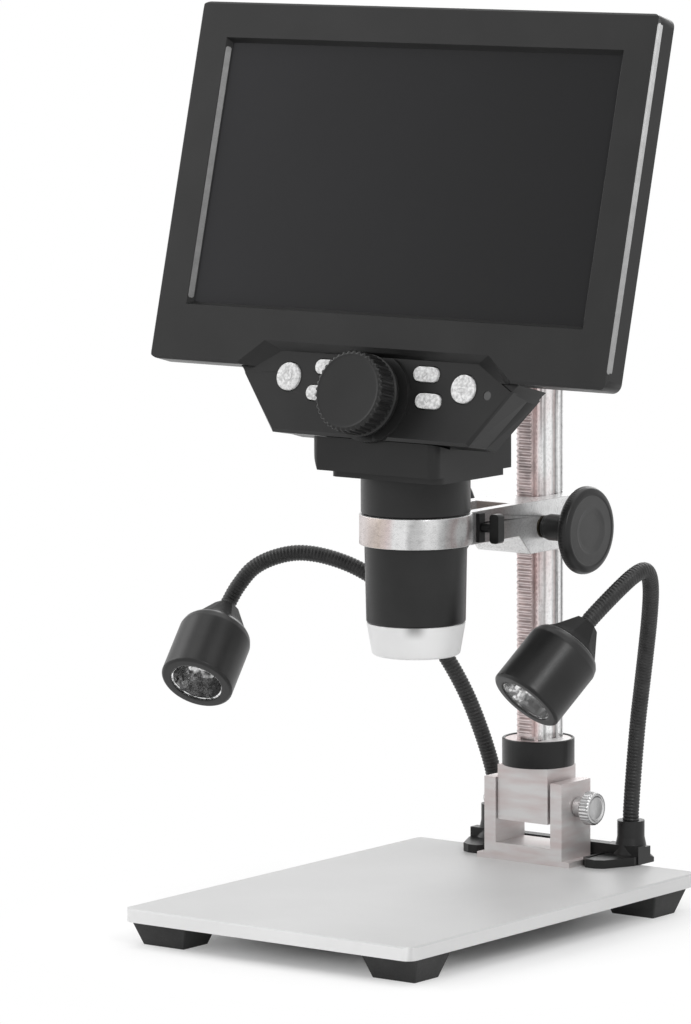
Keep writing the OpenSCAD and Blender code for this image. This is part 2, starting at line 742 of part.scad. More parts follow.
module button_body() {
    depth = panel_wall + 1.4;
    translate([0, 0, panel_w - depth]) linear_extrude(depth + button_out) children();
    translate([0, 0, panel_w - depth]) linear_extrude(0.8) intersection() {
        square([oval_button_w + 1.2, oval_button_w + 1.2], center = true);
        scale(1.08) children();
    }
}

module round_button(x) {
    color("gainsboro") on_screen() translate([x, button_v, 0]) button_body() circle(round_button_r);
}

module oval_button(x, v) {
    color("gainsboro") on_screen() translate([x, v, 0]) button_body()
        round_rect(oval_button_w, oval_button_h, 2.1);
}
module power_button() { round_button(-button_x); }
module menu_button() { round_button(button_x); }
module left_button() { oval_button(-oval_upper[0], oval_upper[1]); }
module up_button() { oval_button(-oval_lower[0], oval_lower[1]); }
module right_button() { oval_button(oval_upper[0], oval_upper[1]); }
module down_button() { oval_button(oval_lower[0], oval_lower[1]); }

module focus_wheel() {
    color(black) on_screen() translate([0, focus_v, wheel_w0]) difference() {
        rotate_extrude() polygon([[0, 0], [wheel_r, 0], [wheel_r, wheel_t - 1.4],
            [wheel_r - 0.3, wheel_t - 0.6], [wheel_r - 1.2, wheel_t], [0, wheel_t]]);
        translate([0, 0, -1]) cylinder(r = spindle_r, h = wheel_t - 2);
        for (a = [0:10:350]) rotate(a) translate([wheel_r + 0.25, 0, -1])
            cylinder(r = 0.7, h = wheel_t + 2, $fn = 16);
    }
}

module focus_spindle() {
    color("silver") on_screen() translate([0, focus_v, 0]) {
        translate([0, 0, pinion_w1]) cylinder(r = spindle_r, h = wheel_w0 + wheel_t - 3 - pinion_w1);
        translate([0, 0, pinion_w0]) linear_extrude(pinion_w1 - pinion_w0 + 0.01)
            polygon(pinion_points(focus_m, focus_n));
    }
}

// ---------- neck and barrel ----------
module neck_plan(x0, x1, y0, y1, c) {
    translate([x0, y0 + c]) square([x1 - x0, y1 - y0 - c]);
    translate([x0 + c, y0]) square([x1 - x0 - 2*c, c + 1]);
    for (x = [x0 + c, x1 - c]) translate([x, y0 + c]) circle(c);
}

module neck_housing() {
    h = neck_half_w;
    z1 = neck_z0 + neck_step[1];
    color(black) difference() {
        union() {
            intersection() {
                translate([0, 0, z1]) linear_extrude(neck_top - z1) neck_plan(-h, h, neck_y0, neck_y1, neck_corner);
                rotate([90, 0, 0]) linear_extrude(100, center = true) polygon([
                    [h, z1 - 1], [h, neck_top + 1], [-h, neck_top + 1], [-h, neck_z0 + 13],
                    [-h + 0.3, neck_z0 + 9], [-h + 1.1, neck_z0 + 5.5], [-h + 2.6, z1], [-h + 2.6, z1 - 1]]);
            }
            translate([0, 0, neck_z0]) linear_extrude(neck_step[1] + 0.01)
                neck_plan(-18.5, h, neck_y0 + 2, neck_y1 - neck_step[0], neck_corner);
            hull() {
                on_screen() {
                    slice(panel_back_w - 0.06, panel_points(0, 0.2));
                    slice(flare_w, panel_points(0, 0.2));
                }
                translate([-h, -13, z1 + 10.5]) cube([2*h, neck_y1 + 13, 14]);
            }
        }
        on_screen() {
            translate([0, 0, panel_back_w - seat]) linear_extrude(60) polygon(tray_points(0.4, 1.05));
            translate([0, -bezel_drop, 0]) shell_solid(-seat);
            translate([0, focus_v, -26]) cylinder(r = spindle_r + run, h = 16);
        }
        translate([-21, -2.6, z1]) cube([42, neck_y1 + 0.6, neck_top - 6 - z1]);
        translate([0, axis_y, neck_z0 - 1]) cylinder(r = barrel_in_r - 0.3, h = 4);
        translate([0, axis_y, z1]) cylinder(r = barrel_in_r - 0.3, h = 9);
    }
}

module barrel_upper() {
    color(black) translate([0, axis_y, barrel_seat_z]) difference() {
        cylinder(r = barrel_top_r, h = barrel_top_h);
        translate([0, 0, -1]) cylinder(r = barrel_in_r - 0.3, h = barrel_top_h + 2);
        translate([0, 0, -1]) cylinder(r = barrel_r + seat, h = 3);
    }
}

module barrel_lower() {
    h = barrel_seat_z + 2 - barrel_z0;
    color(black) translate([0, axis_y, barrel_z0]) difference() {
        rotate_extrude() polygon([[0, 0], [barrel_r - 0.5, 0], [barrel_r, barrel_low_h - 1],
            [barrel_r, h], [0, h]]);
        translate([0, 0, -1]) cylinder(r = barrel_in_r, h = h + 2);
    }
}

module diffuser_cap() {
    wall = 1.5;
    top_r = barrel_r - 0.5;
    lip_r = barrel_in_r - seat;
    color("white") translate([0, axis_y, cap_z0]) rotate_extrude() polygon([
        [cap_hole_r, 0], [cap_foot_r - 1.6, 0], [cap_foot_r - 0.5, 0.5], [cap_foot_r, 1.6],
        [top_r, cap_h], [lip_r, cap_h], [lip_r, cap_h + 2.4], [lip_r - wall, cap_h + 2.4],
        [lip_r - wall, cap_h - 2], [cap_foot_r - wall, 2.4], [cap_foot_r - wall - 1.2, wall],
        [cap_hole_r, wall]]);
}

module led_ring() {
    z = barrel_z0 + 2.5;
    color("white") translate([0, axis_y, 0]) difference() {
        union() {
            translate([0, 0, z]) cylinder(r = barrel_in_r - seat, h = 1.2);
            for (a = [0:45:315]) rotate(a) translate([10.2, 0, z - 1.4]) cylinder(r = 1.3, h = 1.5);
        }
        translate([0, 0, z - 2]) cylinder(r = lens_r + 0.8, h = 5);
    }
}

module sensor_board() {
    z = neck_z0 - 8;
    color("darkgreen") translate([0, axis_y, z]) {
        difference() {
            cylinder(r = barrel_in_r - 0.3 - seat, h = 1.2);
            translate([6.5, -4, -1]) cube([12, 8, 4]);
        }
        translate([-5, -4, -1.2]) cube([10, 8, 1.21]);
    }
}

module lens_carrier() {
    stem_x = lens_r + 0.5;
    rack_v = focus_v;
    color("dimgray") {
        translate([0, axis_y, lens_z0]) difference() {
            cylinder(r = lens_r, h = 24);
            translate([0, 0, -1]) cylinder(r = lens_r - 1.4, h = 26);
        }
        translate([lens_r - 0.7, axis_y - 2, lens_z0 + 19]) cube([3.7, 4, 5]);
        translate([stem_x, axis_y - 2, lens_z0 + 19]) cube([2.5, 4, focus_z - 9.3 - lens_z0 - 19]);
        on_screen() translate([focus_r - focus_add, 0, pinion_w0 + 0.8]) linear_extrude(2.4)
                polygon(rack_points(focus_m, rack_v - 6.3, rack_v + 6.3, 6.4, rack_v));
    }
}

module lens_glass() {
    r = lens_r - 1.4 - 0.02;
    color([0.7, 0.8, 0.9]) translate([0, axis_y, lens_z0 + 4]) intersection() {
        cylinder(r = r, h = 6, center = true);
        translate([0, 0, -9]) sphere(11);
        translate([0, 0, 9]) sphere(11);
    }
}

// ---------- lamps ----------
module lamp_bar() {
    end = socket_x + bar_end;
    color(black) difference() {
        union() {
            translate([-end, bar_y0, plate_top]) cube([2*end, bar_y1 - bar_y0, lamp_bar_h]);
            for (x = [-1, 1]) {
                intersection() {
                    translate([x*socket_x, socket_y, plate_top]) rotate_extrude() polygon([[0, 0],
                        [skirt_r, 0], [skirt_r, 1.4], [skirt_r - 1.3, 2.6], [skirt_r - 2.3, 4.6],
                        [socket_r + 0.3, 7], [socket_r, 8.5], [socket_r, socket_z1 - plate_top],
                        [0, socket_z1 - plate_top]]);
                    translate([-end, 0, 0]) cube([2*end, 200, 100]);
                }
                mirror([x < 0 ? 1 : 0, 0, 0]) {
                    translate([0, 0, plate_top]) linear_extrude(prong_t) prong();
                    translate([prong_x0, bar_y0, plate_top]) cube([end - prong_x0, bar_pad[0], bar_pad[1]]);
                }
            }
        }
        for (x = [-1, 1]) translate([x*socket_x, socket_y, plate_top + 7.6])
            cylinder(r = goose_r + 0.02, h = 20);
        base_screw_places() cylinder(r = base_screw_r + seat, h = plate_top + 2.2);
        for (x = [-1, 1]) translate([x*(prong_x0 + 2), bracket_y0 + 12, plate_top + 2.1])
            cube([1.4, 10, 2], center = true);
    }
}

module prong() {
    r = 3;
    polygon([[prong_x0, prong_y0 + r], [prong_x0 + r, prong_y0], [prong_x0 + 6.5, prong_y0],
        [prong_x0 + 9.5, prong_y0 + 1.5], [prong_x1, prong_y0 + 11.5], [prong_x1, socket_y],
        [prong_x0, socket_y]]);
}

// A tube along the points of a route, from point i to point j, with rounded knees
module tube(route, i, j) {
    for (k = [i:j - 1]) rod(route[k], route[k + 1], goose_r);
    for (k = [i + 1:j - 1]) translate(route[k]) sphere(knee_r);
}

module rod(a, b, r) {
    v = b - a;
    translate(a) rotate([0, acos(v[2]/norm(v)), atan2(v[1], v[0])]) cylinder(r = r, h = norm(v));
}

// A point on the way from route[i] to route[i + 1]
function past(route, i, gap) = route[i] + gap*(route[i + 1] - route[i])/norm(route[i + 1] - route[i]);

module goose_length(route, i, j) {
    $fn = goose_fn;
    start = past(route, i, socket_gap);
    color(black) {
        rod(start, route[i + 1], goose_r);
        translate(route[i + 1]) sphere(knee_r);
        tube(route, i + 1, j);
        translate(route[j]) sphere(ball_r);
    }
}

module goose_root(route) {
    $fn = goose_fn;
    color(black) {
        rod([route[0][0], route[0][1], plate_top + 8.6], route[0], goose_r);
        translate(route[0]) sphere(knee_r);
        tube(route, 0, bend_at[0]);
        translate(route[bend_at[0]]) sphere(ball_r);
    }
}
last = len(right_route) - 1;
module left_goose_root() { goose_root(left_route); }
module right_goose_root() { goose_root(right_route); }
module left_goose_lower() { goose_length(left_route, bend_at[0], bend_at[1]); }
module right_goose_lower() { goose_length(right_route, bend_at[0], bend_at[1]); }
module left_goose_upper() { goose_length(left_route, bend_at[1], last); }
module right_goose_upper() { goose_length(right_route, bend_at[1], last); }

module lamp_frame(at, turn) { translate(at) rotate(turn) children(); }

// Where the last ball sits behind a lamp
function lamp_tail(at, turn) = at - (lamp_l + lamp_cone_l + socket_gap)
    *[sin(turn[1])*cos(turn[2]), sin(turn[1])*sin(turn[2]), cos(turn[1])];

// A route with one more point between each two, on a curve through all of them
function midpoint(r, i) =
    (9*(r[i] + r[i + 1]) - r[max(i - 1, 0)] - r[min(i + 2, len(r) - 1)])/16;
function smooth(r) = concat([for (i = [0:len(r) - 2]) each [r[i], midpoint(r, i)]], [r[len(r) - 1]]);

module lamp_housing(at, turn) {
    wall = 1.4;
    color(black) lamp_frame(at, turn) rotate_extrude() polygon([
        [lamp_r - 0.5, 0], [lamp_r, -0.5], [lamp_r, -lamp_l + 3.6], [lamp_r - 0.5, -lamp_l + 1.8],
        [lamp_r - 1.2, -lamp_l + 0.6], [lamp_r - 2, -lamp_l], [lamp_r - 2.3, -lamp_l - 0.3],
        [4.5, -lamp_l - lamp_cone_l], [0, -lamp_l - lamp_cone_l],
        [0, -lamp_l + 2], [lamp_r - wall - 2, -lamp_l + 2], [lamp_r - wall, -lamp_l + 4],
        [lamp_r - wall, -1.2], [lamp_window_r + 0.6, -1.2], [lamp_window_r + 0.6, 0]]);
}

module lamp_reflector(at, turn) {
    top = lamp_window_r + 0.5;
    color("gainsboro") lamp_frame(at, turn) rotate_extrude() polygon([
        [top, -2], [top, -1.3], [top + 1.2, -1.3], [top + 1.2, -3], [5, -11.5], [0, -11.5],
        [0, -9.2], [1.6, -9.2], [2.6, -8.8], [4.6, -7.4], [6.4, -5.4], [7.6, -3.2]]);
}

module lamp_window(at, turn) {
    color([0.85, 0.9, 0.95, 0.4]) lamp_frame(at, turn) translate([0, 0, -1.2])
        cylinder(r = lamp_window_r + 0.5, h = 1);
}
module left_lamp_housing() { lamp_housing(left_lamp_at, left_lamp_turn); }
module left_lamp_reflector() { lamp_reflector(left_lamp_at, left_lamp_turn); }
module left_lamp_window() { lamp_window(left_lamp_at, left_lamp_turn); }
module right_lamp_housing() { lamp_housing(right_lamp_at, right_lamp_turn); }
module right_lamp_reflector() { lamp_reflector(right_lamp_at, right_lamp_turn); }
module right_lamp_window() { lamp_window(right_lamp_at, right_lamp_turn); }

base_plate();
foot_front_left();
foot_front_right();
foot_rear_left();
foot_rear_right();
foot_screws();
base_screws();
tilt_bracket();
tilt_screw();
tilt_block();
column_collar();
column();
rack();
column_cap();
carriage();
shaft_bushes();
clamp_plates();
clamp_screw();
height_shaft();
height_pinion();
height_knob_left();
height_knob_right();
front_bezel();
screen_glass();
lcd_panel();
rear_shell();
main_board();
shell_screws();
control_housing();
button_board();
indicator_window();
neck_housing();
barrel_upper();
barrel_lower();
diffuser_cap();
led_ring();
sensor_board();
focus_wheel();
focus_spindle();
lens_carrier();
lens_glass();
power_button();
menu_button();
left_button();
up_button();
right_button();
down_button();
lamp_bar();
left_goose_root();
left_goose_lower();
left_goose_upper();
left_lamp_housing();
left_lamp_reflector();
left_lamp_window();
right_goose_root();
right_goose_lower();
right_goose_upper();
right_lamp_housing();
right_lamp_reflector();
right_lamp_window();
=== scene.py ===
import json
import math

import bpy
import numpy as np
from mathutils import Matrix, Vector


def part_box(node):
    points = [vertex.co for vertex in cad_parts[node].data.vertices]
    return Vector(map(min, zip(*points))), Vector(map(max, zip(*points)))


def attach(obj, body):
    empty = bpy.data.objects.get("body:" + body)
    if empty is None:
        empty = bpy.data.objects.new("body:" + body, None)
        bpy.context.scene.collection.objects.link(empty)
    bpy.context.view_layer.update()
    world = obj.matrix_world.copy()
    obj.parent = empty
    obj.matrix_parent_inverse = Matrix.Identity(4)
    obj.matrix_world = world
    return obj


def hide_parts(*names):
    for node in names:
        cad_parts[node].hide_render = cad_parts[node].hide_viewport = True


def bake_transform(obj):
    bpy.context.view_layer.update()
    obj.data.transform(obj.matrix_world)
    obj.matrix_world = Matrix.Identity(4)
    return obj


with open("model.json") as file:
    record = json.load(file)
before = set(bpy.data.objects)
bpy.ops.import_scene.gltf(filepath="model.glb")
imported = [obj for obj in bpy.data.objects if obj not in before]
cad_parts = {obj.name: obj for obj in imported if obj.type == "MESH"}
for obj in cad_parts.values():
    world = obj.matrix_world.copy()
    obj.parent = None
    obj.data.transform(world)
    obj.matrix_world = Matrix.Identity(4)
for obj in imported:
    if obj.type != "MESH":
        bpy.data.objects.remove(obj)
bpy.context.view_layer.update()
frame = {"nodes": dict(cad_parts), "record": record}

nodes = frame["nodes"]
slotOf = {part["node"]: part["material_slot"] for part in frame["record"]["subparts"]}
mm = 0.001
print("frame loaded:", len(nodes), "nodes")

camera = {"place": (1.161313, -1.569793, 0.378218), "azimuth": 37.129, "elevation": 7.103, "roll": -0.25,
          "lens": 217.582, "sensor": 36, "shift": (-0.00021, -0.00153), "clip": (0.05, 50)}
studio = {
    "floorSize": 6.0, "floorColour": (0.95, 0.95, 0.95, 1), "whiteFrom": 0.04, "whiteTo": 0.14,
    "worldGlow": 0.5,
    # name: place, target, width, height, watts
    "lamps": {
        "keyLeft": ((-1.5, -0.5, 1.0), (0, 0, 0.16), 1.4, 1.4, 13.0),
        "frontRight": ((1.04, -0.65, 0.93), (0, 0, 0.13), 0.3, 0.5, 6.0),
        "topSoft": ((0.1, 0.2, 1.5), (0, 0, 0.1), 1.6, 1.6, 9.0),
        "rearRim": ((-0.5, 1.4, 0.8), (0, 0, 0.15), 0.8, 0.8, 5.0),
    },
}


def frameAt(origin, xAxis, yAxis, zAxis):
    # a placement from its origin and its three axes
    place = np.eye(4)
    place[:3, 0], place[:3, 1], place[:3, 2], place[:3, 3] = xAxis, yAxis, zAxis, origin
    return place


def addHolder(name, data, place):
    holder = bpy.data.objects.new(name, data)
    bpy.context.collection.objects.link(holder)
    holder.matrix_world = Matrix(place.tolist())
    return holder


def aimCamera(spec):
    # back points from the object to the camera; right and up are turned about it by the roll
    a, e, r = (math.radians(spec[key]) for key in ("azimuth", "elevation", "roll"))
    back = np.array([math.sin(a)*math.cos(e), -math.cos(a)*math.cos(e), math.sin(e)])
    right = np.cross(-back, [0, 0, 1])
    right /= np.linalg.norm(right)
    up = np.cross(back, right)
    rolledRight = math.cos(r)*right + math.sin(r)*up
    rolledUp = -math.sin(r)*right + math.cos(r)*up
    lensData = bpy.data.cameras.new("studioCamera")
    lensData.lens, lensData.sensor_width = spec["lens"], spec["sensor"]
    lensData.shift_x, lensData.shift_y = spec["shift"]
    lensData.clip_start, lensData.clip_end = spec["clip"]
    place = frameAt(spec["place"], rolledRight, rolledUp, back)
    bpy.context.scene.camera = addHolder("studioCamera", lensData, place)


def addNode(tree, kind, **settings):
    made = tree.nodes.new(kind)
    for key, value in settings.items():
        socket = next((s for s in made.inputs if s.name == key.replace("_", " ")), None)
        if hasattr(made, key):
            setattr(made, key, value)
        elif socket is not None:
            socket.default_value = value
        else:
            raise KeyError(key)
    return made


def freshTree(name):
    finish = bpy.data.materials.new(name)
    finish.use_nodes = True
    finish.node_tree.nodes.clear()
    return finish, finish.node_tree


def patternValue(tree, scale, stretch=(1, 1, 1), detail=3.0, roughness=0.5):
    # noise on the piece's own coordinates, stretched along one axis for brushed metal
    coords = addNode(tree, "ShaderNodeTexCoord")
    place = addNode(tree, "ShaderNodeMapping")
    place.inputs["Scale"].default_value = stretch
    noise = addNode(tree, "ShaderNodeTexNoise", Scale=scale, Detail=detail, Roughness=roughness)
    tree.links.new(coords.outputs["Object"], place.inputs[0])
    tree.links.new(place.outputs[0], noise.inputs["Vector"])
    return noise.outputs[0]


def rampThrough(tree, value, marks):
    # a colour ramp through (place, colour) marks
    ramp = addNode(tree, "ShaderNodeValToRGB")
    line = ramp.color_ramp.elements
    line.remove(line[1])
    for k, (place, colour) in enumerate(marks):
        mark = line[0] if k == 0 else line.new(place)
        mark.position, mark.color = place, (*colour, 1)
    tree.links.new(value, ramp.inputs[0])
    return ramp.outputs[0]


def rescale(tree, value, low, high, lowest=0.3, highest=0.7, smooth=False):
    # a value from lowest to highest becomes one from low to high
    reach = addNode(tree, "ShaderNodeMapRange", From_Min=lowest, From_Max=highest, To_Min=low, To_Max=high)
    reach.interpolation_type = "SMOOTHSTEP" if smooth else "LINEAR"
    tree.links.new(value, reach.inputs["Value"])
    return reach.outputs[0]


def combine(tree, operation, first, second):
    # one sum of two values; the second may be a plain number
    total = addNode(tree, "ShaderNodeMath", operation=operation)
    tree.links.new(first, total.inputs[0])
    if isinstance(second, (int, float)):
        total.inputs[1].default_value = second
    else:
        tree.links.new(second, total.inputs[1])
    return total.outputs[0]


def blendColours(tree, share, first, second, kind="MIX"):
    # share is a socket or a number, the colours are sockets or plain colours
    mix = addNode(tree, "ShaderNodeMix", data_type="RGBA", blend_type=kind)
    for value, socket in ((share, mix.inputs[0]), (first, mix.inputs[6]), (second, mix.inputs[7])):
        if hasattr(value, "is_output"):
            tree.links.new(value, socket)
        else:
            socket.default_value = value if isinstance(value, float) else (*value, 1)
    return mix.outputs[2]


def multiplied(tree, first, *others):
    for other in others:
        first = blendColours(tree, 1.0, first, other, "MULTIPLY")
    return first


def along(tree, axis, source="Object"):
    # one coordinate of a point, or of the direction that the surface faces, in the piece's own axes
    coords = addNode(tree, "ShaderNodeTexCoord")
    split = addNode(tree, "ShaderNodeSeparateXYZ")
    tree.links.new(coords.outputs[source], split.inputs[0])
    return split.outputs["XYZ".index(axis)]


def between(tree, axis, low, high, smooth=False):
    # 0 to 1 as a point goes from low to high along an axis
    return rescale(tree, along(tree, axis), 0.0, 1.0, low, high, smooth)


def facing(tree, axis, low, high, smooth=False):
    # 0 to 1 as the direction that the surface faces goes from low to high along an axis
    return rescale(tree, along(tree, axis, "Normal"), 0.0, 1.0, low, high, smooth)


def grey(value, warm=0.0):
    return (value*(1 + warm), value, value*(1 - 0.3*warm))


def rosy(value):
    return (value, value*0.88, value*0.87)


def seenDirectly(tree):
    # 1 for camera, glossy and transmission rays, 0 for the rest
    rays = addNode(tree, "ShaderNodeLightPath").outputs
    first = combine(tree, "MAXIMUM", rays["Is Camera Ray"], rays["Is Glossy Ray"])
    return combine(tree, "MAXIMUM", first, rays["Is Transmission Ray"])


def mixShaders(tree, share, first, second, outputKind):
    mix = addNode(tree, "ShaderNodeMixShader")
    out = addNode(tree, outputKind)
    for source, socket in zip((share, first.outputs[0], second.outputs[0]), mix.inputs):
        tree.links.new(source, socket)
    tree.links.new(mix.outputs[0], out.inputs[0])


def buildWorld(spec):
    world = bpy.data.worlds.new("studioWorld")
    world.use_nodes = True
    tree = world.node_tree
    tree.nodes.clear()
    soft = addNode(tree, "ShaderNodeBackground", Color=(1, 1, 1, 1), Strength=spec["worldGlow"])
    white = addNode(tree, "ShaderNodeBackground", Color=(1, 1, 1, 1), Strength=1.0)
    mixShaders(tree, seenDirectly(tree), soft, white, "ShaderNodeOutputWorld")
    bpy.context.scene.world = world


def buildFloor(spec):
    # a wide plane: pale and shadowed near the object, plain white further out
    half = spec["floorSize"]/2
    corners = [(-half, -half, 0), (half, -half, 0), (half, half, 0), (-half, half, 0)]
    sheet = bpy.data.meshes.new("studioFloor")
    sheet.from_pydata(corners, [], [(0, 1, 2, 3)])
    finish, tree = freshTree("floorWhite")
    coords = addNode(tree, "ShaderNodeTexCoord")
    length = addNode(tree, "ShaderNodeVectorMath", operation="LENGTH")
    tree.links.new(coords.outputs["Object"], length.inputs[0])
    fade = rescale(tree, length.outputs["Value"], 0.0, 1.0, spec["whiteFrom"], spec["whiteTo"], True)
    painted = addNode(tree, "ShaderNodeBsdfDiffuse", Color=spec["floorColour"])
    white = addNode(tree, "ShaderNodeEmission", Color=(1, 1, 1, 1), Strength=1.0)
    share = combine(tree, "MULTIPLY", fade, seenDirectly(tree))
    mixShaders(tree, share, painted, white, "ShaderNodeOutputMaterial")
    sheet.materials.append(finish)
    floor = addHolder("studioFloor", sheet, np.eye(4))


def buildLamps(spec):
    for name, (place, target, width, height, watts) in spec["lamps"].items():
        light = bpy.data.lights.new(name, "AREA")
        light.shape = "RECTANGLE"
        light.size, light.size_y, light.energy = width, height, watts
        away = np.array(place, float) - np.array(target, float)
        away /= np.linalg.norm(away)
        side = np.cross([0, 0, 1.0], away)
        side /= np.linalg.norm(side)
        addHolder(name, light, frameAt(place, side, np.cross(away, side), away))


aimCamera(camera)
bpy.context.scene.view_settings.view_transform = "Standard"
buildWorld(studio)
buildFloor(studio)
buildLamps(studio)
print("camera, floor and lights ready")

# tones that the paints below lay over a finish: ramps of (place, colour) marks, noises as patternValue
# takes them, and the ranges of place or direction over which one tone gives way to the next
# painted shade along the base plate's top and painted light on its front and right end walls
plateLightAndShadeTones = {"paintedShadeLengthways": [(0.0, grey(0.93)), (0.45, grey(0.92)), (0.85, grey(0.8)), (1.0, grey(0.78))],
              "front": grey(1.25), "frontFacing": (-0.6, -0.9), "end": grey(1.02), "endFacing": (0.6, 0.9)}
# painted reflections on the carriage by the way its faces turn; the scratches are real wear
carriageReflectionTones = {
    "walls": [(0.0, grey(0.7)), (0.05, rosy(0.5)), (0.24, (0.71, 0.65, 0.64)), (0.37, (0.57, 0.5, 0.47)),
              (0.47, (0.56, 0.48, 0.43)), (0.56, (0.64, 0.55, 0.54)), (0.63, grey(0.78)), (0.71, grey(0.8)),
              (0.765, grey(0.5)), (0.82, grey(0.54)), (0.875, grey(0.7)), (0.92, grey(0.66)),
              (0.955, grey(0.38)), (0.985, rosy(0.27)), (0.998, rosy(0.32)), (1.0, grey(0.24))],
    "side": [(0.0, grey(0.36)), (0.35, rosy(0.4)), (0.55, grey(0.6)), (0.75, grey(0.85))],
    "sideSpan": (0.018, 0.058), "sideFacing": (0.975, 0.995), "flat": grey(0.84), "flatFacing": (0.4, 0.75),
    "scratchNoise": (420, (1, 1, 1.6), 5.0, 0.7),
    "scratches": [(0.36, grey(0.82)), (0.5, grey(0.98)), (0.6, grey(1.0))],
}
# bands of painted highlight and painted shade on the column; the worn tint and specks are its own colour
columnBandAndWearTones = {
    "litAndShadedBands": [
        (0.0, rosy(0.9)), (0.17, grey(0.95)), (0.21, grey(0.5)), (0.26, grey(0.5)), (0.32, grey(0.95)),
        (0.46, grey(1.0)), (0.55, grey(0.9)), (0.6, grey(0.62)), (0.66, rosy(0.5)), (0.72, grey(0.3)),
        (0.78, grey(1.0)), (0.83, grey(0.85)), (0.87, grey(0.55)), (0.92, grey(0.7)), (0.96, grey(1.0))],
    "driftNoise": (30, (1, 1, 1.5), 2.0), "drift": 0.02,
    "wornNoise": (60, (1, 1, 0.5), 4.0, 0.6), "worn": [(0.35, rosy(0.84)), (0.55, grey(1.0))],
    "speckNoise": (900, (1, 1, 1), 4.0, 0.7), "specks": [(0.36, grey(0.8)), (0.56, grey(1.0))],
}
# painted reflections and painted glints on the lamp reflectors
reflectorReflectionTones = {
    "down": grey(1.0), "up": grey(0.07), "facing": (-0.32, 0.1), "glintNoise": (420, (1, 1, 1), 2.0),
    "glints": [(0.42, grey(0.12)), (0.5, grey(0.55)), (0.56, grey(1.0))],
}
# painted reflection across the screen glass
screenReflectionTones = [(0.0, grey(1.0)), (1.0, grey(0.45))]
# two spots of painted shade on the frosted cap
capShadeSpotTones = {"sideways": (0.797, 0.604), "spotHalf": (0.0004, 0.0046), "spotRise": (0.0945, 0.099),
            "strength": 0.75, "spot": grey(0.18)}
# how the painted highlight on the bezel's edge strips grows brighter up the screen
highlightRise = {"low": 0.185, "high": 0.288}


def shadedPlate(tree, colour):
    # the base plate: painted shade makes its top a little darker towards the right end, and painted light
    # makes its front wall the lightest and its right end wall lighter than the top
    left, right = (corner[0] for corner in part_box("base_plate"))
    top = rampThrough(tree, between(tree, "X", left, right), plateLightAndShadeTones["paintedShadeLengthways"])
    front, end = facing(tree, "Y", *plateLightAndShadeTones["frontFacing"]), facing(tree, "X", *plateLightAndShadeTones["endFacing"])
    walls = blendColours(tree, end, blendColours(tree, front, top, plateLightAndShadeTones["front"]), plateLightAndShadeTones["end"])
    return multiplied(tree, walls, colour)


def carriagePaintedReflections(tree, colour):
    # the carriage: painted reflections on the walls by the way they face, on the side walls lighter towards
    # the rear, and bright on the flats; the scratches over them are real wear
    tones = carriageReflectionTones
    walls = rampThrough(tree, facing(tree, "X", -1.0, 1.0), tones["walls"])
    rearward = rampThrough(tree, between(tree, "Y", *tones["sideSpan"]), tones["side"])
    walls = blendColours(tree, facing(tree, "X", *tones["sideFacing"], True), walls, rearward)
    upright = combine(tree, "ABSOLUTE", along(tree, "Z", "Normal"), 0.0)
    flat = rescale(tree, upright, 0.0, 1.0, *tones["flatFacing"], True)
    scratches = rampThrough(tree, patternValue(tree, *tones["scratchNoise"]), tones["scratches"])
    return multiplied(tree, blendColours(tree, flat, walls, tones["flat"]), scratches, colour)


def paintColumnBandsAndWear(tree, colour):
    # the column: painted highlights on the lands and painted shade in the grooves, in bands along its
    # length by the distance back from its front; the worn tint and specks are its own colour
    tones = columnBandAndWearTones
    front, rear = (corner[1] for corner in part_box("column"))
    drift = rescale(tree, patternValue(tree, *tones["driftNoise"]), -tones["drift"], tones["drift"])
    depth = combine(tree, "ADD", between(tree, "Y", front, rear), drift)
    worn = rampThrough(tree, patternValue(tree, *tones["wornNoise"]), tones["worn"])
    specks = rampThrough(tree, patternValue(tree, *tones["speckNoise"]), tones["specks"])
    return multiplied(tree, rampThrough(tree, depth, tones["litAndShadedBands"]), worn, specks, colour)


def reflectorPaintedReflections(tree, colour):
    # the reflector: painted reflections, bright on facets that face down and dark on those that face up,
    # broken by painted glints
    upwards = facing(tree, "Z", *reflectorReflectionTones["facing"], True)
    shade = blendColours(tree, upwards, reflectorReflectionTones["down"], reflectorReflectionTones["up"])
    glints = rampThrough(tree, patternValue(tree, *reflectorReflectionTones["glintNoise"]), reflectorReflectionTones["glints"])
    return multiplied(tree, shade, glints, colour)


def screenPaintedReflection(tree, colour):
    # the screen: a painted reflection, a little darker from its left edge to its right
    left, right = (corner[0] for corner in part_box("screen_glass"))
    return multiplied(tree, rampThrough(tree, between(tree, "X", left, right), screenReflectionTones), colour)


def capPaintedShadeSpots(tree, colour):
    # the cap: two spots of painted shade below its top edge, front and back, on the line from the camera
    # through the cap
    alongX, alongY = (combine(tree, "MULTIPLY", along(tree, axis), share)
                      for axis, share in zip("XY", capShadeSpotTones["sideways"]))
    distance = combine(tree, "ABSOLUTE", combine(tree, "ADD", alongX, alongY), 0.0)
    near = rescale(tree, distance, 1.0, 0.0, *capShadeSpotTones["spotHalf"], True)
    high = between(tree, "Z", *capShadeSpotTones["spotRise"], True)
    spot = combine(tree, "MULTIPLY", combine(tree, "MULTIPLY", near, high), capShadeSpotTones["strength"])
    return blendColours(tree, spot, colour, capShadeSpotTones["spot"])


def risingPaintedHighlight(low, high):
    # a painted highlight: a pale edge that grows brighter from the foot of the screen to its top
    def paint(tree, colour):
        up = between(tree, "Z", highlightRise["low"], highlightRise["high"])
        return blendColours(tree, up, *(multiplied(tree, colour, grey(share)) for share in (low, high)))
    return paint


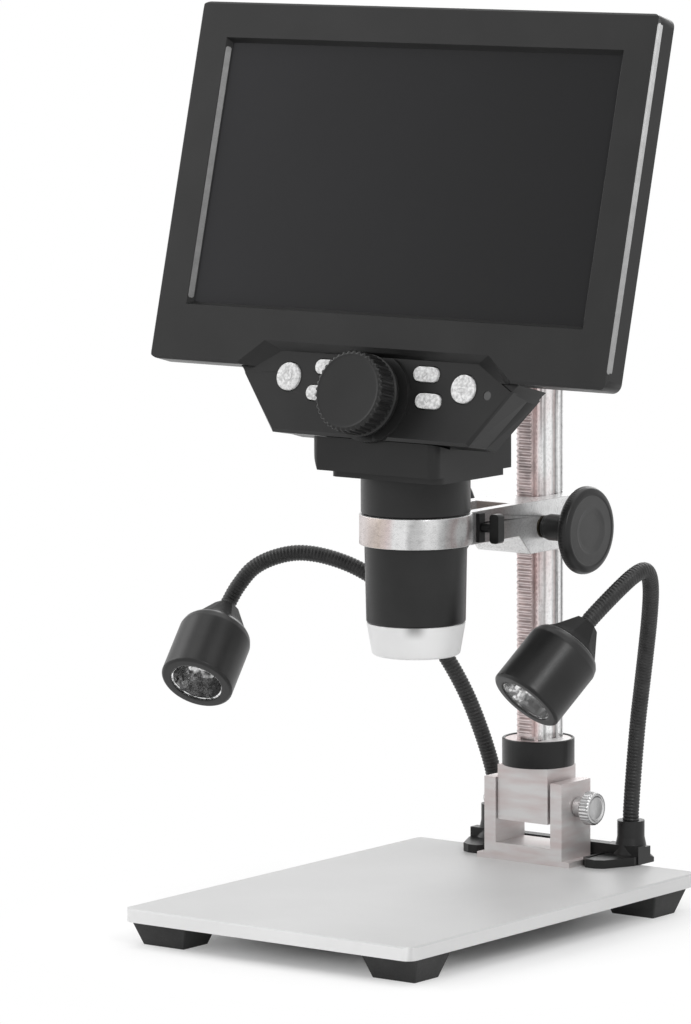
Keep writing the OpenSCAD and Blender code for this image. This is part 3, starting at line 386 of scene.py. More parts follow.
def makeFinish(name, low, high, rough, metallic=0.0, mottle=60.0, grain=1500.0, depth=0.02,
               stretch=(1, 1, 1), paint=None, **shader):
    # colour from low to high by a broad noise, roughness and bump by a fine one; paint changes the colour
    finish, tree = freshTree(name)
    body = addNode(tree, "ShaderNodeBsdfPrincipled", Metallic=metallic, **shader)
    broad = patternValue(tree, mottle, stretch, 4.0)
    fine = patternValue(tree, grain, stretch, 2.0, 0.6)
    colour = rampThrough(tree, broad, [(0.35, low), (0.65, high)])
    if paint is not None:
        colour = paint(tree, colour)
    bump = addNode(tree, "ShaderNodeBump", Strength=depth, Distance=0.0002)
    out = addNode(tree, "ShaderNodeOutputMaterial")
    tree.links.new(colour, body.inputs["Base Color"])
    tree.links.new(rescale(tree, fine, *rough), body.inputs["Roughness"])
    tree.links.new(fine, bump.inputs["Height"])
    tree.links.new(bump.outputs[0], body.inputs["Normal"])
    tree.links.new(body.outputs[0], out.inputs[0])
    return finish


soft = {"Specular_IOR_Level": 0.3}
dull = {"Specular_IOR_Level": 0.16}
# by material slot, then the finishes that only parts of a piece have
finishes = {
    "base_plate": makeFinish("powderedPlate", grey(0.63), grey(0.66), (0.4, 0.5), mottle=25, grain=2600,
                             depth=0.06, paint=shadedPlate, **soft),
    "foot_rubber": makeFinish("footRubber", grey(0.03), grey(0.042), (0.6, 0.75), mottle=90, grain=1800,
                              depth=0.2, **soft),
    "dark_screws": makeFinish("screwSteel", grey(0.1), grey(0.18), (0.3, 0.45), 1.0),
    "bracket_silver": makeFinish("bracketAluminium", rosy(0.6), grey(0.66, 0.02), (0.4, 0.5), 0.6,
                                 grain=1200, depth=0.05, stretch=(1, 1, 5)),
    "screw_silver": makeFinish("thumbScrewNickel", grey(0.5), grey(0.62), (0.3, 0.4), 1.0, mottle=300),
    "black_anodised": makeFinish("blackAnodised", grey(0.01), grey(0.016), (0.3, 0.4), mottle=50,
                                 depth=0.03, **soft),
    "column_silver": makeFinish("columnAluminium", grey(0.95), grey(1.0), (0.25, 0.36), 1.0, mottle=160,
                                depth=0.04, stretch=(1, 1, 0.04), paint=paintColumnBandsAndWear),
    "rack_steel": makeFinish("rackSteel", rosy(0.56), rosy(0.8), (0.35, 0.5), 0.8, mottle=200, depth=0.05),
    "black_plastic": makeFinish("mouldedBlack", grey(0.012), grey(0.016), (0.3, 0.38), mottle=40,
                                grain=2400, depth=0.05, Specular_IOR_Level=0.26),
    "carriage_silver": makeFinish("carriageAluminium", grey(0.94), grey(1.0), (0.24, 0.36), 0.6, mottle=90,
                                  depth=0.04, stretch=(1, 1, 8), paint=carriagePaintedReflections),
    "bush_brass": makeFinish("bushBrass", (0.05, 0.043, 0.033), (0.08, 0.07, 0.05), (0.4, 0.5), 1.0),
    "shaft_steel": makeFinish("shaftSteel", grey(0.4), grey(0.55), (0.2, 0.3), 1.0, mottle=200, depth=0.03,
                              stretch=(0.1, 1, 1)),
    "screen_glass": makeFinish("screenGlass", (0.026, 0.026, 0.027), (0.028, 0.028, 0.03), (0.12, 0.16),
                               mottle=8, grain=300, depth=0.0, paint=screenPaintedReflection, **dull),
    "display_black": makeFinish("displayPanel", grey(0.012), grey(0.018), (0.3, 0.4)),
    "board_green": makeFinish("circuitBoard", (0.01, 0.08, 0.03), (0.02, 0.16, 0.06), (0.35, 0.5),
                              mottle=400),
    "button_silver": makeFinish("buttonSilver", grey(0.5), grey(0.86), (0.3, 0.42), mottle=1100, grain=2500,
                                depth=0.15),
    "indicator_dark": makeFinish("indicatorLens", grey(0.06), grey(0.08), (0.1, 0.15)),
    "diffuser_white": makeFinish("frostedCap", grey(0.9), grey(0.96), (0.35, 0.45), paint=capPaintedShadeSpots,
                                 Transmission_Weight=0.2),
    "led_white": makeFinish("ledRing", grey(0.7), grey(0.8), (0.4, 0.5)),
    "lens_tube": makeFinish("lensTube", grey(0.012), grey(0.018), (0.5, 0.6)),
    "clear_glass": makeFinish("clearGlass", grey(0.95), grey(1.0), (0.02, 0.05), depth=0.0,
                              Transmission_Weight=1.0, IOR=1.15),
    "goose_black": makeFinish("gooseneckBlack", grey(0.02), grey(0.034), (0.36, 0.48), mottle=300,
                              grain=2500, depth=0.1, **soft),
    "lamp_black": makeFinish("lampAnodised", grey(0.012), grey(0.02), (0.3, 0.38), mottle=40, grain=2000,
                             depth=0.04, **soft),
    "reflector_chrome": makeFinish("reflectorChrome", grey(0.9), grey(1.0), (0.05, 0.1), 1.0, mottle=200,
                                   grain=900, depth=0.0, paint=reflectorPaintedReflections),
    # pale strips on the bezel's edges, coloured as painted highlights
    "bezelPaintedHighlight": makeFinish("paintedHighlightEdge", grey(0.85), grey(1.0), (0.2, 0.3), mottle=300,
                             paint=risingPaintedHighlight(0.3, 0.58), **soft),
    "viewPaintedHighlight": makeFinish("paintedHighlightEdge", grey(0.85), grey(1.0), (0.2, 0.3), mottle=300,
                            paint=risingPaintedHighlight(0.2, 0.3), **soft),
    # a lighter grey on the knobs' flat faces: a painted reflection
    "knobFaceReflection": makeFinish("knobFacePaintedReflection", grey(0.05), grey(0.062), (0.45, 0.55), mottle=80, grain=2400,
                           depth=0.04, **soft),
    "buttonMark": makeFinish("buttonMarkGrey", grey(0.42), grey(0.6), (0.4, 0.5), mottle=500, grain=2500),
    # a grey ring on the lamp's shoulder ridge: a painted highlight
    "rimHighlight": makeFinish("paintedRimHighlight", grey(0.34), grey(0.5), (0.25, 0.35), 0.6, mottle=200),
    "coneBlack": makeFinish("coneBlack", grey(0.01), grey(0.014), (0.5, 0.6), grain=2000, depth=0.04,
                            **dull),
    "ledEmitter": makeFinish("ledEmitter", (0.62, 0.6, 0.5), (0.75, 0.72, 0.62), (0.15, 0.25), mottle=400,
                             grain=900),
}

for name, node in nodes.items():
    node.data.materials.clear()
    node.data.materials.append(finishes[slotOf[name]])
print("finishes set on", len(nodes), "nodes")

# widths of the eased edges on the CAD nodes, in mm
easedEdges = {
    "base_plate": 0.35, "foot_front_left": 0.5, "foot_front_right": 0.5, "foot_rear_left": 0.5,
    "foot_rear_right": 0.5, "tilt_bracket": 0.3, "tilt_block": 0.4, "column_collar": 0.4, "column": 0.08,
    "column_cap": 0.4, "carriage": 0.25, "clamp_plates": 0.2, "clamp_screw": 0.3, "front_bezel": 0.3,
    "rear_shell": 0.5, "control_housing": 0.3, "neck_housing": 0.5, "lamp_bar": 0.35,
}
easing = {"joinWithin": 1e-5, "segments": 3, "sharperThan": 32}


def easeEdges(node, width, spec):
    weld = node.modifiers.new("joinFaces", "WELD")
    weld.merge_threshold = spec["joinWithin"]
    bevel = node.modifiers.new("easedEdges", "BEVEL")
    bevel.width, bevel.segments, bevel.limit_method = width*mm, spec["segments"], "ANGLE"
    bevel.angle_limit = math.radians(spec["sharperThan"])
    bevel.harden_normals = True


for name, width in easedEdges.items():
    easeEdges(nodes[name], width, easing)
print("edges eased on", len(easedEdges), "nodes")


def gridFaces(rows, columns, closeRows, closeColumns):
    # four-sided faces between neighbouring rows and columns of a grid of points
    index = np.arange(rows*columns).reshape(rows, columns)
    if closeColumns:
        index = np.hstack([index, index[:, :1]])
    if closeRows:
        index = np.vstack([index, index[:1]])
    return np.stack([index[:-1, :-1], index[:-1, 1:], index[1:, 1:], index[1:, :-1]], -1).reshape(-1, 4)


def shell(grid, closeRows=False, closeColumns=True, capped=False, finish=0):
    # a grid of points with its faces; a cap is a fan to the middle of an end row
    rows, columns = grid.shape[:2]
    points = grid.reshape(-1, 3)
    faces = [gridFaces(rows, columns, closeRows, closeColumns)]
    for first in (0, (rows - 1)*columns) if capped else ():
        ring = np.arange(columns) + first
        nextOne = np.roll(ring, -1)
        fan = [nextOne, ring] if first == 0 else [ring, nextOne]
        faces.append(np.stack([*fan, np.full(columns, len(points))], -1))
        points = np.vstack([points, points[ring].mean(0)])
    return points, faces, finish


def facingOut(points, faces):
    # the signed volume inside a closed surface is positive when its faces point outwards
    triangles = np.vstack([some[:, [0, k, k + 1]] for some in faces for k in range(1, some.shape[1] - 1)])
    a, b, c = (points[triangles[:, k]] for k in range(3))
    return np.einsum("ij,ij->", a, np.cross(b, c)) > 0


def makePiece(name, parts, slot, body, replaced=(), moreFinishes=(), sharp=32, blend=None):
    # one mesh from closed parts, each with the number of its finish; it rides on a body, or, when blend is
    # given, has its place baked into its points and rides on none
    points, faces, marks, count = [], [], [], 0
    for some, those, finish in parts:
        turned = slice(None) if facingOut(some, those) else slice(None, None, -1)
        points.append(some)
        for group in those:
            faces += (group[:, turned] + count).tolist()
            marks += [finish]*len(group)
        count += len(some)
    mesh = bpy.data.meshes.new(name)
    mesh.from_pydata((np.vstack(points)*mm).tolist(), [], faces)
    mesh.polygons.foreach_set("material_index", marks)
    mesh.polygons.foreach_set("use_smooth", [True]*len(faces))
    mesh.set_sharp_from_angle(angle=math.radians(sharp))
    for finish in (slot, *moreFinishes):
        mesh.materials.append(finishes[finish])
    piece = bpy.data.objects.new(name, mesh)
    bpy.context.collection.objects.link(piece)
    if blend:
        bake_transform(piece)
    else:
        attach(piece, body)
    if replaced:
        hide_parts(*replaced)
    return piece


def refinish(piece, place, number, chosen):
    # faces of the first finish whose middles are chosen get another finish's number; the middles are in
    # mm, in the axes of the place that the piece was built in
    polygons = piece.data.polygons
    centres, marks = np.empty(len(polygons)*3), np.empty(len(polygons), int)
    polygons.foreach_get("center", centres)
    polygons.foreach_get("material_index", marks)
    centres = (centres.reshape(-1, 3)/mm - place[:3, 3]) @ place[:3, :3]
    polygons.foreach_set("material_index", np.where(chosen(centres) & (marks == 0), number, marks))


def softProfile(corners, ease, steps=5):
    # each inner corner of a line becomes a quadratic curve that starts ease before it and ends ease past it
    line = np.array(corners, float)
    before, here, after = line[:-2], line[1:-1], line[2:]
    back, ahead = before - here, after - here
    backLength, aheadLength = (np.linalg.norm(v, axis=1, keepdims=True) for v in (back, ahead))
    start = here + back/backLength*np.minimum(ease, 0.45*backLength)
    end = here + ahead/aheadLength*np.minimum(ease, 0.45*aheadLength)
    t = np.linspace(0, 1, steps)[None, :, None]
    curve = (1 - t)**2*start[:, None] + 2*t*(1 - t)*here[:, None] + t**2*end[:, None]
    return np.vstack([line[:1], curve.reshape(-1, 2), line[-1:]])


def fineRows(profile, longest):
    # more rows where a profile's straight parts are longer than longest
    length = np.concatenate([[0], np.cumsum(np.linalg.norm(np.diff(profile, axis=0), axis=1))])
    extra = np.concatenate([length, np.arange(0, length[-1], longest)])
    where = np.unique(np.round(extra, 5))
    return np.stack([np.interp(where, length, profile[:, k]) for k in (0, 1)], -1)


def stepsFrom(radius, height, steps):
    # profile corners given as steps out from a radius and on from a height
    return [(radius + out, height + on) for out, on in steps]


def placed(grid, place):
    return grid @ place[:3, :3].T + place[:3, 3]


def revolved(profile, place, around=96, shape=None):
    # a profile of (radius, height) turned round the z axis; shape may change the radius by height and angle
    angle = np.linspace(0, 2*np.pi, around, endpoint=False)[None, :]
    radius, height = profile[:, :1]*np.ones_like(angle), profile[:, 1:]*np.ones_like(angle)
    if shape is not None:
        radius = shape(radius, height, angle)
    return placed(np.stack([radius*np.cos(angle), radius*np.sin(angle), height], -1), place)


def smoothStep(value, low, high):
    t = np.clip((value - low)/(high - low), 0, 1)
    return t*t*(3 - 2*t)


screen = {"tilt": math.radians(14.6), "front": 6.7, "height": 240.5}


def onScreen(across, up, out=0.0):
    # the screen's own frame, in mm: x to the right, y up the screen, z out of its face
    s, c = math.sin(screen["tilt"]), math.cos(screen["tilt"])
    origin = np.array([across, up*s - out*c - screen["front"], up*c + out*s + screen["height"]])
    return frameAt(origin, (1, 0, 0), (0, s, c), (0, -c, s))


def alongX(y, z, side=1):
    # a shaft's own frame: its z is the way to the right, or to the left where side is -1
    return frameAt((0, y, z), (0, 0, -side), (0, 1, 0), (side, 0, 0))


# strips that carry painted highlights on the bezel's right corner and on the sides of the view
# places on the screen's face, in mm: across, up, and out of the face where negative is into it
bezelHighlightStrip = {"across": 89.7, "wide": 0.7, "proud": 0.06, "deep": 1.75, "root": 0.4, "nose": 0.6,
             "noseSteps": 6, "low": -57.0, "high": 52.6}
viewHighlightStrip = {"across": 77.8, "slope": 1.3, "sink": 2.2, "from": 0.1, "to": 0.86, "proud": 0.06, "root": 0.2,
            "low": -41.6, "high": 41.0}
barEnds = {"taper": 0.6, "share": 0.5}
trayShoulder = {"corners": [(44.5, -60.4), (54.7, -61.8), (53.4, -63.0), (52.1, -64.8), (49.0, -67.5)],
                "rows": [(-3.5, 0.96), (-3.8, 1.0), (-18.4, 1.0)]}


def shrunk(flat, share):
    return flat.mean(0) + (flat - flat.mean(0))*share


def straightBar(flat, low, high, ends):
    # a closed section of (across, out) points carried up the screen, drawn in at both ends
    rows = []
    for up, share in ((low, ends["share"]), (low + ends["taper"], 1.0), (high - ends["taper"], 1.0),
                      (high, ends["share"])):
        ring = shrunk(flat, share)
        rows.append(np.column_stack([ring[:, 0], np.full(len(flat), up), ring[:, 1]]))
    return shell(placed(np.stack(rows), onScreen(0, 0)), capped=True)


def buildBezelHighlightStrip(spec):
    # a bar round the bezel's right corner, with a quarter circle at its nose, coloured as a painted
    # highlight
    x, out, nose, root = (spec[key] for key in ("across", "proud", "nose", "root"))
    angle = np.linspace(0, np.pi/2, spec["noseSteps"])
    arc = np.stack([x + out - nose + nose*np.sin(angle), out - nose + nose*np.cos(angle)], -1)
    section = np.vstack([[(x - spec["wide"], -root), (x - spec["wide"], out)], arc,
                         [(x + out, -spec["deep"]), (x - root, -spec["deep"])]])
    makePiece("bezelHighlightStripRight", [straightBar(section, spec["low"], spec["high"], barEnds)], "bezelPaintedHighlight",
              "head", sharp=50)


def buildViewHighlightStrips(spec):
    # a thin plate on each sloping side of the view, coloured as a painted highlight; lift is the slope's
    # own direction, turned square
    run = np.array([-spec["slope"], -spec["sink"]])
    lift = np.array([-spec["sink"], spec["slope"]])/np.hypot(spec["slope"], spec["sink"])
    start, end = (np.array([spec["across"], 0]) + run*share for share in (spec["from"], spec["to"]))
    over, under = spec["proud"]*lift, spec["root"]*lift
    section = np.array([start - under, start + over, end + over, end - under])
    for name, side in (("Right", 1), ("Left", -1)):
        bar = straightBar(section*[side, 1], spec["low"], spec["high"], barEnds)
        makePiece("viewHighlightStrip" + name, [bar], "viewPaintedHighlight", "head", sharp=50)


def buildTrayShoulders(spec):
    # an outline carried back from the tray's face, a little smaller at the front
    for name, side in (("Right", 1), ("Left", -1)):
        flat = np.array(spec["corners"])*[side, 1]
        rows = [np.column_stack([shrunk(flat, share), np.full(len(flat), out)])
                for out, share in spec["rows"]]
        makePiece("trayShoulder" + name, [shell(placed(np.stack(rows), onScreen(0, 0)), capped=True)],
                  "black_plastic", "head", sharp=30)


buildBezelHighlightStrip(bezelHighlightStrip)
buildViewHighlightStrips(viewHighlightStrip)
buildTrayShoulders(trayShoulder)
print("bezel edges and tray shoulders built")

focusWheel = {
    "up": -69.4, "rear": 1.0, "front": 11.0, "radius": 13.1, "face": 11.8, "around": 320,
    "rearSteps": [(-5.1, 0), (-1.2, 0), (-0.1, 0.5), (0, 1.2), (0, 1.9), (-0.5, 2.1), (-0.5, 2.5),
                  (-0.1, 2.7)],
    "frontSteps": [(-0.1, -0.9), (-0.5, -0.3)],
    "faceSteps": [(0, -0.05), (-0.6, -0.15), (-9.8, -0.25)],
    "ease": (0.25, 4), "longestRow": 1.0,
    "ribs": 40, "ribDepth": 0.5, "ribSquareness": 2.6, "ribFrom": (2.5, 2.9), "ribTo": (-0.1, 0.5),
}


def buildFocusWheel(spec):
    r, rear, front, face = (spec[key] for key in ("radius", "rear", "front", "face"))
    corners = [*stepsFrom(r, rear, spec["rearSteps"]), *stepsFrom(r, front, spec["frontSteps"]),
               *stepsFrom(face, front, spec["faceSteps"])]
    profile = fineRows(softProfile(corners, *spec["ease"]), spec["longestRow"])

    def ribbed(radius, height, angle):
        # ribs: a squared-off cosine of the angle cuts grooves between the rear lip and the face
        square = spec["ribSquareness"]
        wave = 0.5 - 0.5*np.tanh(square*np.cos(spec["ribs"]*angle))/math.tanh(square)
        start, end = (rear + step for step in spec["ribFrom"])
        low, high = (face + step for step in spec["ribTo"])
        return radius - spec["ribDepth"]*wave*smoothStep(height, start, end)*smoothStep(radius, low, high)

    grid = revolved(profile, onScreen(0, spec["up"]), spec["around"], ribbed)
    makePiece("focusWheel", [shell(grid, capped=True)], "black_plastic", "focus_drive", ["focus_wheel"],
              sharp=40)


buildFocusWheel(focusWheel)

heightKnob = {
    "y": 56.23, "z": 124.6, "radius": 14.3, "face": 29.6, "back": 25.1, "hub": 4.3, "hubStart": 11.8,
    "dish": 6.9, "annulus": 11.3, "around": 360,
    "hubSteps": [(-2.1, 0), (-0.4, 0), (-0.4, 1.4), (0, 1.5)], "neckSteps": [(0, -0.05), (3, 0.1)],
    "backSteps": [(-1.6, 0), (0, 1.3)], "rimSteps": [(0, -1.9), (-0.7, -0.5), (-2.2, 0)],
    "annulusSteps": [(0.2, -0.02), (0, -0.18)],
    "dishSteps": [(0.7, -0.1), (0, -0.5), (-1.2, -0.75), (-5.4, -0.7)],
    "rimEase": (0.5, 6), "faceEase": (0.3, 5), "longestRow": 1.2, "knurls": 90, "knurlDepth": 0.14,
    "knurlEdge": (-0.25, -0.05), "faceDepth": 1.2,
}


def buildHeightKnob(spec, side, name, node):
    r, front, hub = spec["radius"], spec["face"], spec["hub"]
    ring = stepsFrom(spec["annulus"], front, spec["annulusSteps"])
    rim = [*stepsFrom(hub, spec["hubStart"], spec["hubSteps"]),
           *stepsFrom(hub, spec["back"], spec["neckSteps"]),
           *stepsFrom(r, spec["back"], spec["backSteps"]), *stepsFrom(r, front, spec["rimSteps"]), ring[0]]
    face = [*ring, *stepsFrom(spec["dish"], front, spec["dishSteps"])]
    profile = np.vstack([softProfile(rim, *spec["rimEase"]), softProfile(face, *spec["faceEase"])[1:]])

    def knurled(radius, height, angle):
        # fine knurl: a cosine of the angle on the outer side only
        low, high = (r + step for step in spec["knurlEdge"])
        outside = smoothStep(radius, low, high)
        return radius - spec["knurlDepth"]*outside*(0.5 - 0.5*np.cos(spec["knurls"]*angle))

    def onFace(centres):
        reach = np.hypot(centres[:, 0], centres[:, 1])
        return (reach < spec["annulus"]) & (centres[:, 2] > front - spec["faceDepth"])

    place = alongX(spec["y"], spec["z"], side)
    grid = revolved(fineRows(profile, spec["longestRow"]), place, spec["around"], knurled)
    piece = makePiece(name, [shell(grid, capped=True)], "black_anodised", "height_drive", [node],
                      ["knobFaceReflection"], sharp=40)
    # the flat face inside the annulus takes the lighter grey of a painted reflection
    refinish(piece, place, 1, onFace)


buildHeightKnob(heightKnob, 1, "heightKnobRight", "height_knob_right")
buildHeightKnob(heightKnob, -1, "heightKnobLeft", "height_knob_left")
print("wheel and knobs built")

thumbScrew = {
    "y": 68.35, "z": 31.3, "core": 1.5, "shaft": 2.7, "boss": 3.3, "end": -20.5, "bossFrom": 15.7,
    "headFrom": 19.3, "headTo": 23.3, "head": 5.5, "bossInto": 0.1, "shoulder": 0.01, "stemEase": 0.3,
    "headBack": [(-3.5, 0), (-0.5, 0), (0, 0.5)],
    "headFront": [(0, -0.6), (-0.6, 0), (-1.3, 0), (-1.7, -0.35), (-4.3, -0.3)],
    "headEase": 0.22, "longestRow": 0.8, "teeth": 28, "toothDepth": 0.3, "toothEdge": (-0.5, -0.1),
    "nut": 4.4, "nutSpan": (-19.4, -15.7), "nutBack": [(-2.4, 0), (-0.7, 0), (0, 0.5)],
    "nutFront": [(0, 0), (-2.4, 0)], "nutEase": 0.15,
    "stemAround": 48, "nutAround": 96, "rowsPerTooth": 8,
}


def buildThumbScrew(spec):
    r, nut, core, bossEnd = spec["head"], spec["nut"], spec["core"], spec["headFrom"] + spec["bossInto"]
    stem = [(core, spec["end"]), (spec["shaft"], spec["end"]), (spec["shaft"], spec["bossFrom"]),
            (spec["boss"], spec["bossFrom"] + spec["shoulder"]), (spec["boss"], bossEnd), (core, bossEnd)]
    head = [*stepsFrom(r, spec["headFrom"], spec["headBack"]),
            *stepsFrom(r, spec["headTo"], spec["headFront"])]
    nutLine = [*stepsFrom(nut, spec["nutSpan"][0], spec["nutBack"]),
               *stepsFrom(nut, spec["nutSpan"][1], spec["nutFront"])]

    def toothed(radius, height, angle):
        # teeth: a narrowed cosine of the angle on the outer side only
        wave = (0.5 - 0.5*np.cos(spec["teeth"]*angle))**1.5
        low, high = (r + step for step in spec["toothEdge"])
        return radius - spec["toothDepth"]*wave*smoothStep(radius, low, high)

    def sixSided(radius, height, angle):
        # a hexagon's radius: the half width across flats over the cosine of the angle from the flat
        flat = (angle + np.pi/6) % (np.pi/3) - np.pi/6
        return np.minimum(radius, nut*math.cos(math.pi/6)/np.cos(flat))

    place = alongX(spec["y"], spec["z"])
    grids = [revolved(softProfile(stem, spec["stemEase"]), place, spec["stemAround"]),
             revolved(fineRows(softProfile(head, spec["headEase"]), spec["longestRow"]), place,
                      spec["teeth"]*spec["rowsPerTooth"], toothed),
             revolved(softProfile(nutLine, spec["nutEase"]), place, spec["nutAround"], sixSided)]
    makePiece("tiltThumbScrew", [shell(grid, capped=True) for grid in grids], "screw_silver",
              "tilt_thumb_screw", ["tilt_screw"], sharp=38)


buildThumbScrew(thumbScrew)

buttonCap = {
    "top": -2.2, "crown": 0.12, "crownReach": (0.88, 0.7, 0.5, 0.3, 0.12), "around": 72, "cornerTurn": 8,
    # the side's rows as (share of the outline, height)
    "side": [(1.0, -6.7), (1.0, -2.45), (0.985, -2.33), (0.95, -2.23)],
    "markWidth": 0.32, "markHeight": 0.05, "markRoot": 0.1,
}
roundButton = {"half": 0, "radius": 4.5}
ovalButton = {"half": 2.4, "radius": 2.4}
# node: outline, across, up, and its sign's strokes in mm from its middle as lists of (across, up)
buttons = {
    "power_button": (roundButton, -34.3, -64.5, [
        [(0, 0.5), (0, 2.1)],
        [(1.6*math.sin(a), 1.6*math.cos(a)) for a in np.linspace(0.6, 2*math.pi - 0.6, 22)]]),
    "menu_button": (roundButton, 34.3, -64.5, [[(-1.5, v), (1.5, v)] for v in (-1.1, 0, 1.1)]),
    "left_button": (ovalButton, -19.3, -60.7, [[(0.6, 1.1), (-0.7, 0), (0.6, -1.1)]]),
    "up_button": (ovalButton, -21.5, -69.1, [[(-1.1, -0.6), (0, 0.7), (1.1, -0.6)]]),
    "right_button": (ovalButton, 19.3, -60.7, [[(-0.6, 1.1), (0.7, 0), (-0.6, -1.1)]]),
    "down_button": (ovalButton, 21.5, -69.1, [[(-1.1, 0.6), (0, -0.7), (1.1, 0.6)]]),
}


def markStroke(path, spec):
    # a flat ribbon along a path: each point is moved by half the width along the path's normal
    line = np.array(path, float)
    ahead = np.gradient(line, axis=0)
    ahead /= np.linalg.norm(ahead, axis=1, keepdims=True)
    normal = np.stack([-ahead[:, 1], ahead[:, 0]], -1)*spec["markWidth"]/2
    low, high = spec["top"] - spec["markRoot"], spec["top"] + spec["crown"] + spec["markHeight"]
    ring = [(line + normal, low), (line - normal, low), (line - normal, high), (line + normal, high)]
    return np.stack([np.column_stack([flat, np.full(len(line), level)]) for flat, level in ring], 1)


def buildButton(spec, node, outline, across, up, strokes):
    # outline: a circle whose right and left halves are moved apart; rows climb the side, then the crown,
    # whose height is one less the square of how far out a point is
    angle = np.linspace(0, 2*np.pi, spec["around"], endpoint=False)
    apart = outline["half"]*np.tanh(spec["cornerTurn"]*np.cos(angle))
    base = np.stack([outline["radius"]*np.cos(angle) + apart, outline["radius"]*np.sin(angle)], -1)
    crown = [(reach, spec["top"] + spec["crown"]*(1 - reach**2)) for reach in spec["crownReach"]]
    grid = np.stack([np.column_stack([base*scale, np.full(len(base), level)])
                     for scale, level in spec["side"] + crown])
    place = onScreen(across, up)
    parts = [shell(placed(grid, place), capped=True)]
    parts += [shell(placed(markStroke(stroke, spec), place), capped=True, finish=1) for stroke in strokes]
    name = node.replace("_", " ").title().replace(" ", "") + "Cap"
    makePiece(name, parts, "button_silver", node + "_key", [node], ["buttonMark"], sharp=40)


for node, (outline, across, up, strokes) in buttons.items():
    buildButton(buttonCap, node, outline, across, up, strokes)
print("thumb screw and buttons built")

barrel = {
    "y": 1.0, "around": 128,
    # piece: node, finish, ease, longest row, outline as (radius, height)
    "sleeves": {
        "barrelUpperSleeve": ("barrel_upper", "black_anodised", 0.2, 3, [
            (14.05, 141.5), (14.05, 134.6), (16.4, 134.3), (16.4, 134.1), (17.1, 134.1), (17.5, 134.5),
            (17.5, 146.5), (14.05, 146.5), (14.05, 141.5)]),
        "barrelLowerSleeve": ("barrel_lower", "black_anodised", 0.25, 3, [
            (14.35, 108), (14.35, 99), (15.45, 99), (15.9, 99.5), (16.35, 121.7), (16.35, 136.1),
            (14.35, 136.1), (14.35, 108)]),
        "frostedCap": ("diffuser_cap", "diffuser_white", 0.5, 2, [
            (7.5, 88.4), (12.8, 88.4), (14.1, 89.0), (15.85, 99.0), (14.25, 99.0), (14.25, 101.4),
            (12.8, 101.4), (12.8, 97.0), (12.9, 91.0), (11.8, 89.9), (7.5, 89.9), (7.5, 89.1)]),
    },
}


def buildBarrel(spec):
    place = frameAt((0, spec["y"], 0), (1, 0, 0), (0, 1, 0), (0, 0, 1))
    for name, (node, finish, ease, longest, outline) in spec["sleeves"].items():
        profile = fineRows(softProfile(outline, ease), longest)
        grid = revolved(profile, place, spec["around"])
        makePiece(name, [shell(grid, closeRows=True)], finish, "head", [node])


buildBarrel(barrel)
print("barrel built")

lamp = {
    # outlines as (radius, height), with the front rim at height 0 and the tail below it
    "body": [(8.8, -2.2), (8.8, -0.25), (9.1, 0), (11.6, 0), (12.3, -0.7), (12.3, -20.1), (11.7, -22.1),
             (10.6, -23.5), (10.0, -23.65)],
    "cone": [(9.95, -23.8), (4.7, -32.2), (4.2, -33.0), (1.2, -33.0)],
    "inner": [(1.2, -31.5), (8.6, -24.0), (8.6, -2.2)],
    "ridge": [(10.4, -23.52), (10.25, -23.34), (9.95, -23.48), (9.95, -23.8), (10.4, -23.52)],
    "lip": [(8.75, -1.3), (8.75, -0.95), (8.3, -1.0), (8.1, -1.35), (8.75, -1.4)],
    "dome": [(2.4, -9.6), (2.4, -8.4), (2.0, -8.3), (1.8, -7.5), (0.8, -7.0)],
    "bowl": [(8.7, -1.3), (7.75, -3.0), (6.7, -5.0), (5.2, -7.0), (3.4, -8.5), (1.5, -9.2)],
    "bowlAround": 26, "bowlBack": (1.06, 1.06, 1), "bowlThick": 0.9,
    # how each outline's corners are eased, as (ease, steps), and its longest row
    "ease": {"body": (0.35, 6), "cone": (0.3, 4), "ridge": (0.05, 3), "lip": (0.08, 3), "dome": (0.4, 5)},
    "longestRow": {"body": 2.5, "cone": 1.0}, "around": 96, "domeAround": 40,
    "facets": 8, "facetFrom": 24.1, "facetTo": 26.0, "coneTop": -23.95,
    "right": {"at": (36.2, 10, 75.4), "turn": (133.4, -109.2)},
    "left": {"at": (-100.4, 14.4, 68.4), "turn": (132, -76.4)},
}


def lampPlace(spec):
    # local z is the way the lamp points: a turn about y, then one about z
    t, p = (math.radians(a) for a in spec["turn"])
    xAxis = (math.cos(t)*math.cos(p), math.cos(t)*math.sin(p), -math.sin(t))
    zAxis = (math.sin(t)*math.cos(p), math.sin(t)*math.sin(p), math.cos(t))
    return frameAt(spec["at"], xAxis, (-math.sin(p), math.cos(p), 0), zAxis)


def lampLine(spec, name):
    return softProfile(spec[name], *spec["ease"][name])


def buildLampHousing(spec, side, place):
    def faceted(radius, height, angle):
        # a polygon's radius over the round one, growing in below the shoulder
        half = np.pi/spec["facets"]
        polygon = math.cos(half)/np.cos(angle % (2*half) - half)
        share = smoothStep(-height, spec["facetFrom"], spec["facetTo"])
        return radius*(1 - share + share*polygon)

    body, cone = (fineRows(lampLine(spec, name), spec["longestRow"][name]) for name in ("body", "cone"))
    profile = np.vstack([body, cone, np.array(spec["inner"])])
    # the ridge ring, finish 1, is coloured as a painted highlight
    parts = [shell(revolved(profile, place, spec["around"], faceted), closeRows=True),
             shell(revolved(lampLine(spec, "ridge"), place, spec["around"]), closeRows=True, finish=1)]
    piece = makePiece("lampHousing" + side.capitalize(), parts, "lamp_black", side + "_lamp",
                      [side + "_lamp_housing"], ["rimHighlight", "coneBlack"], sharp=28)
    refinish(piece, place, 2, lambda centres: centres[:, 2] < spec["coneTop"])


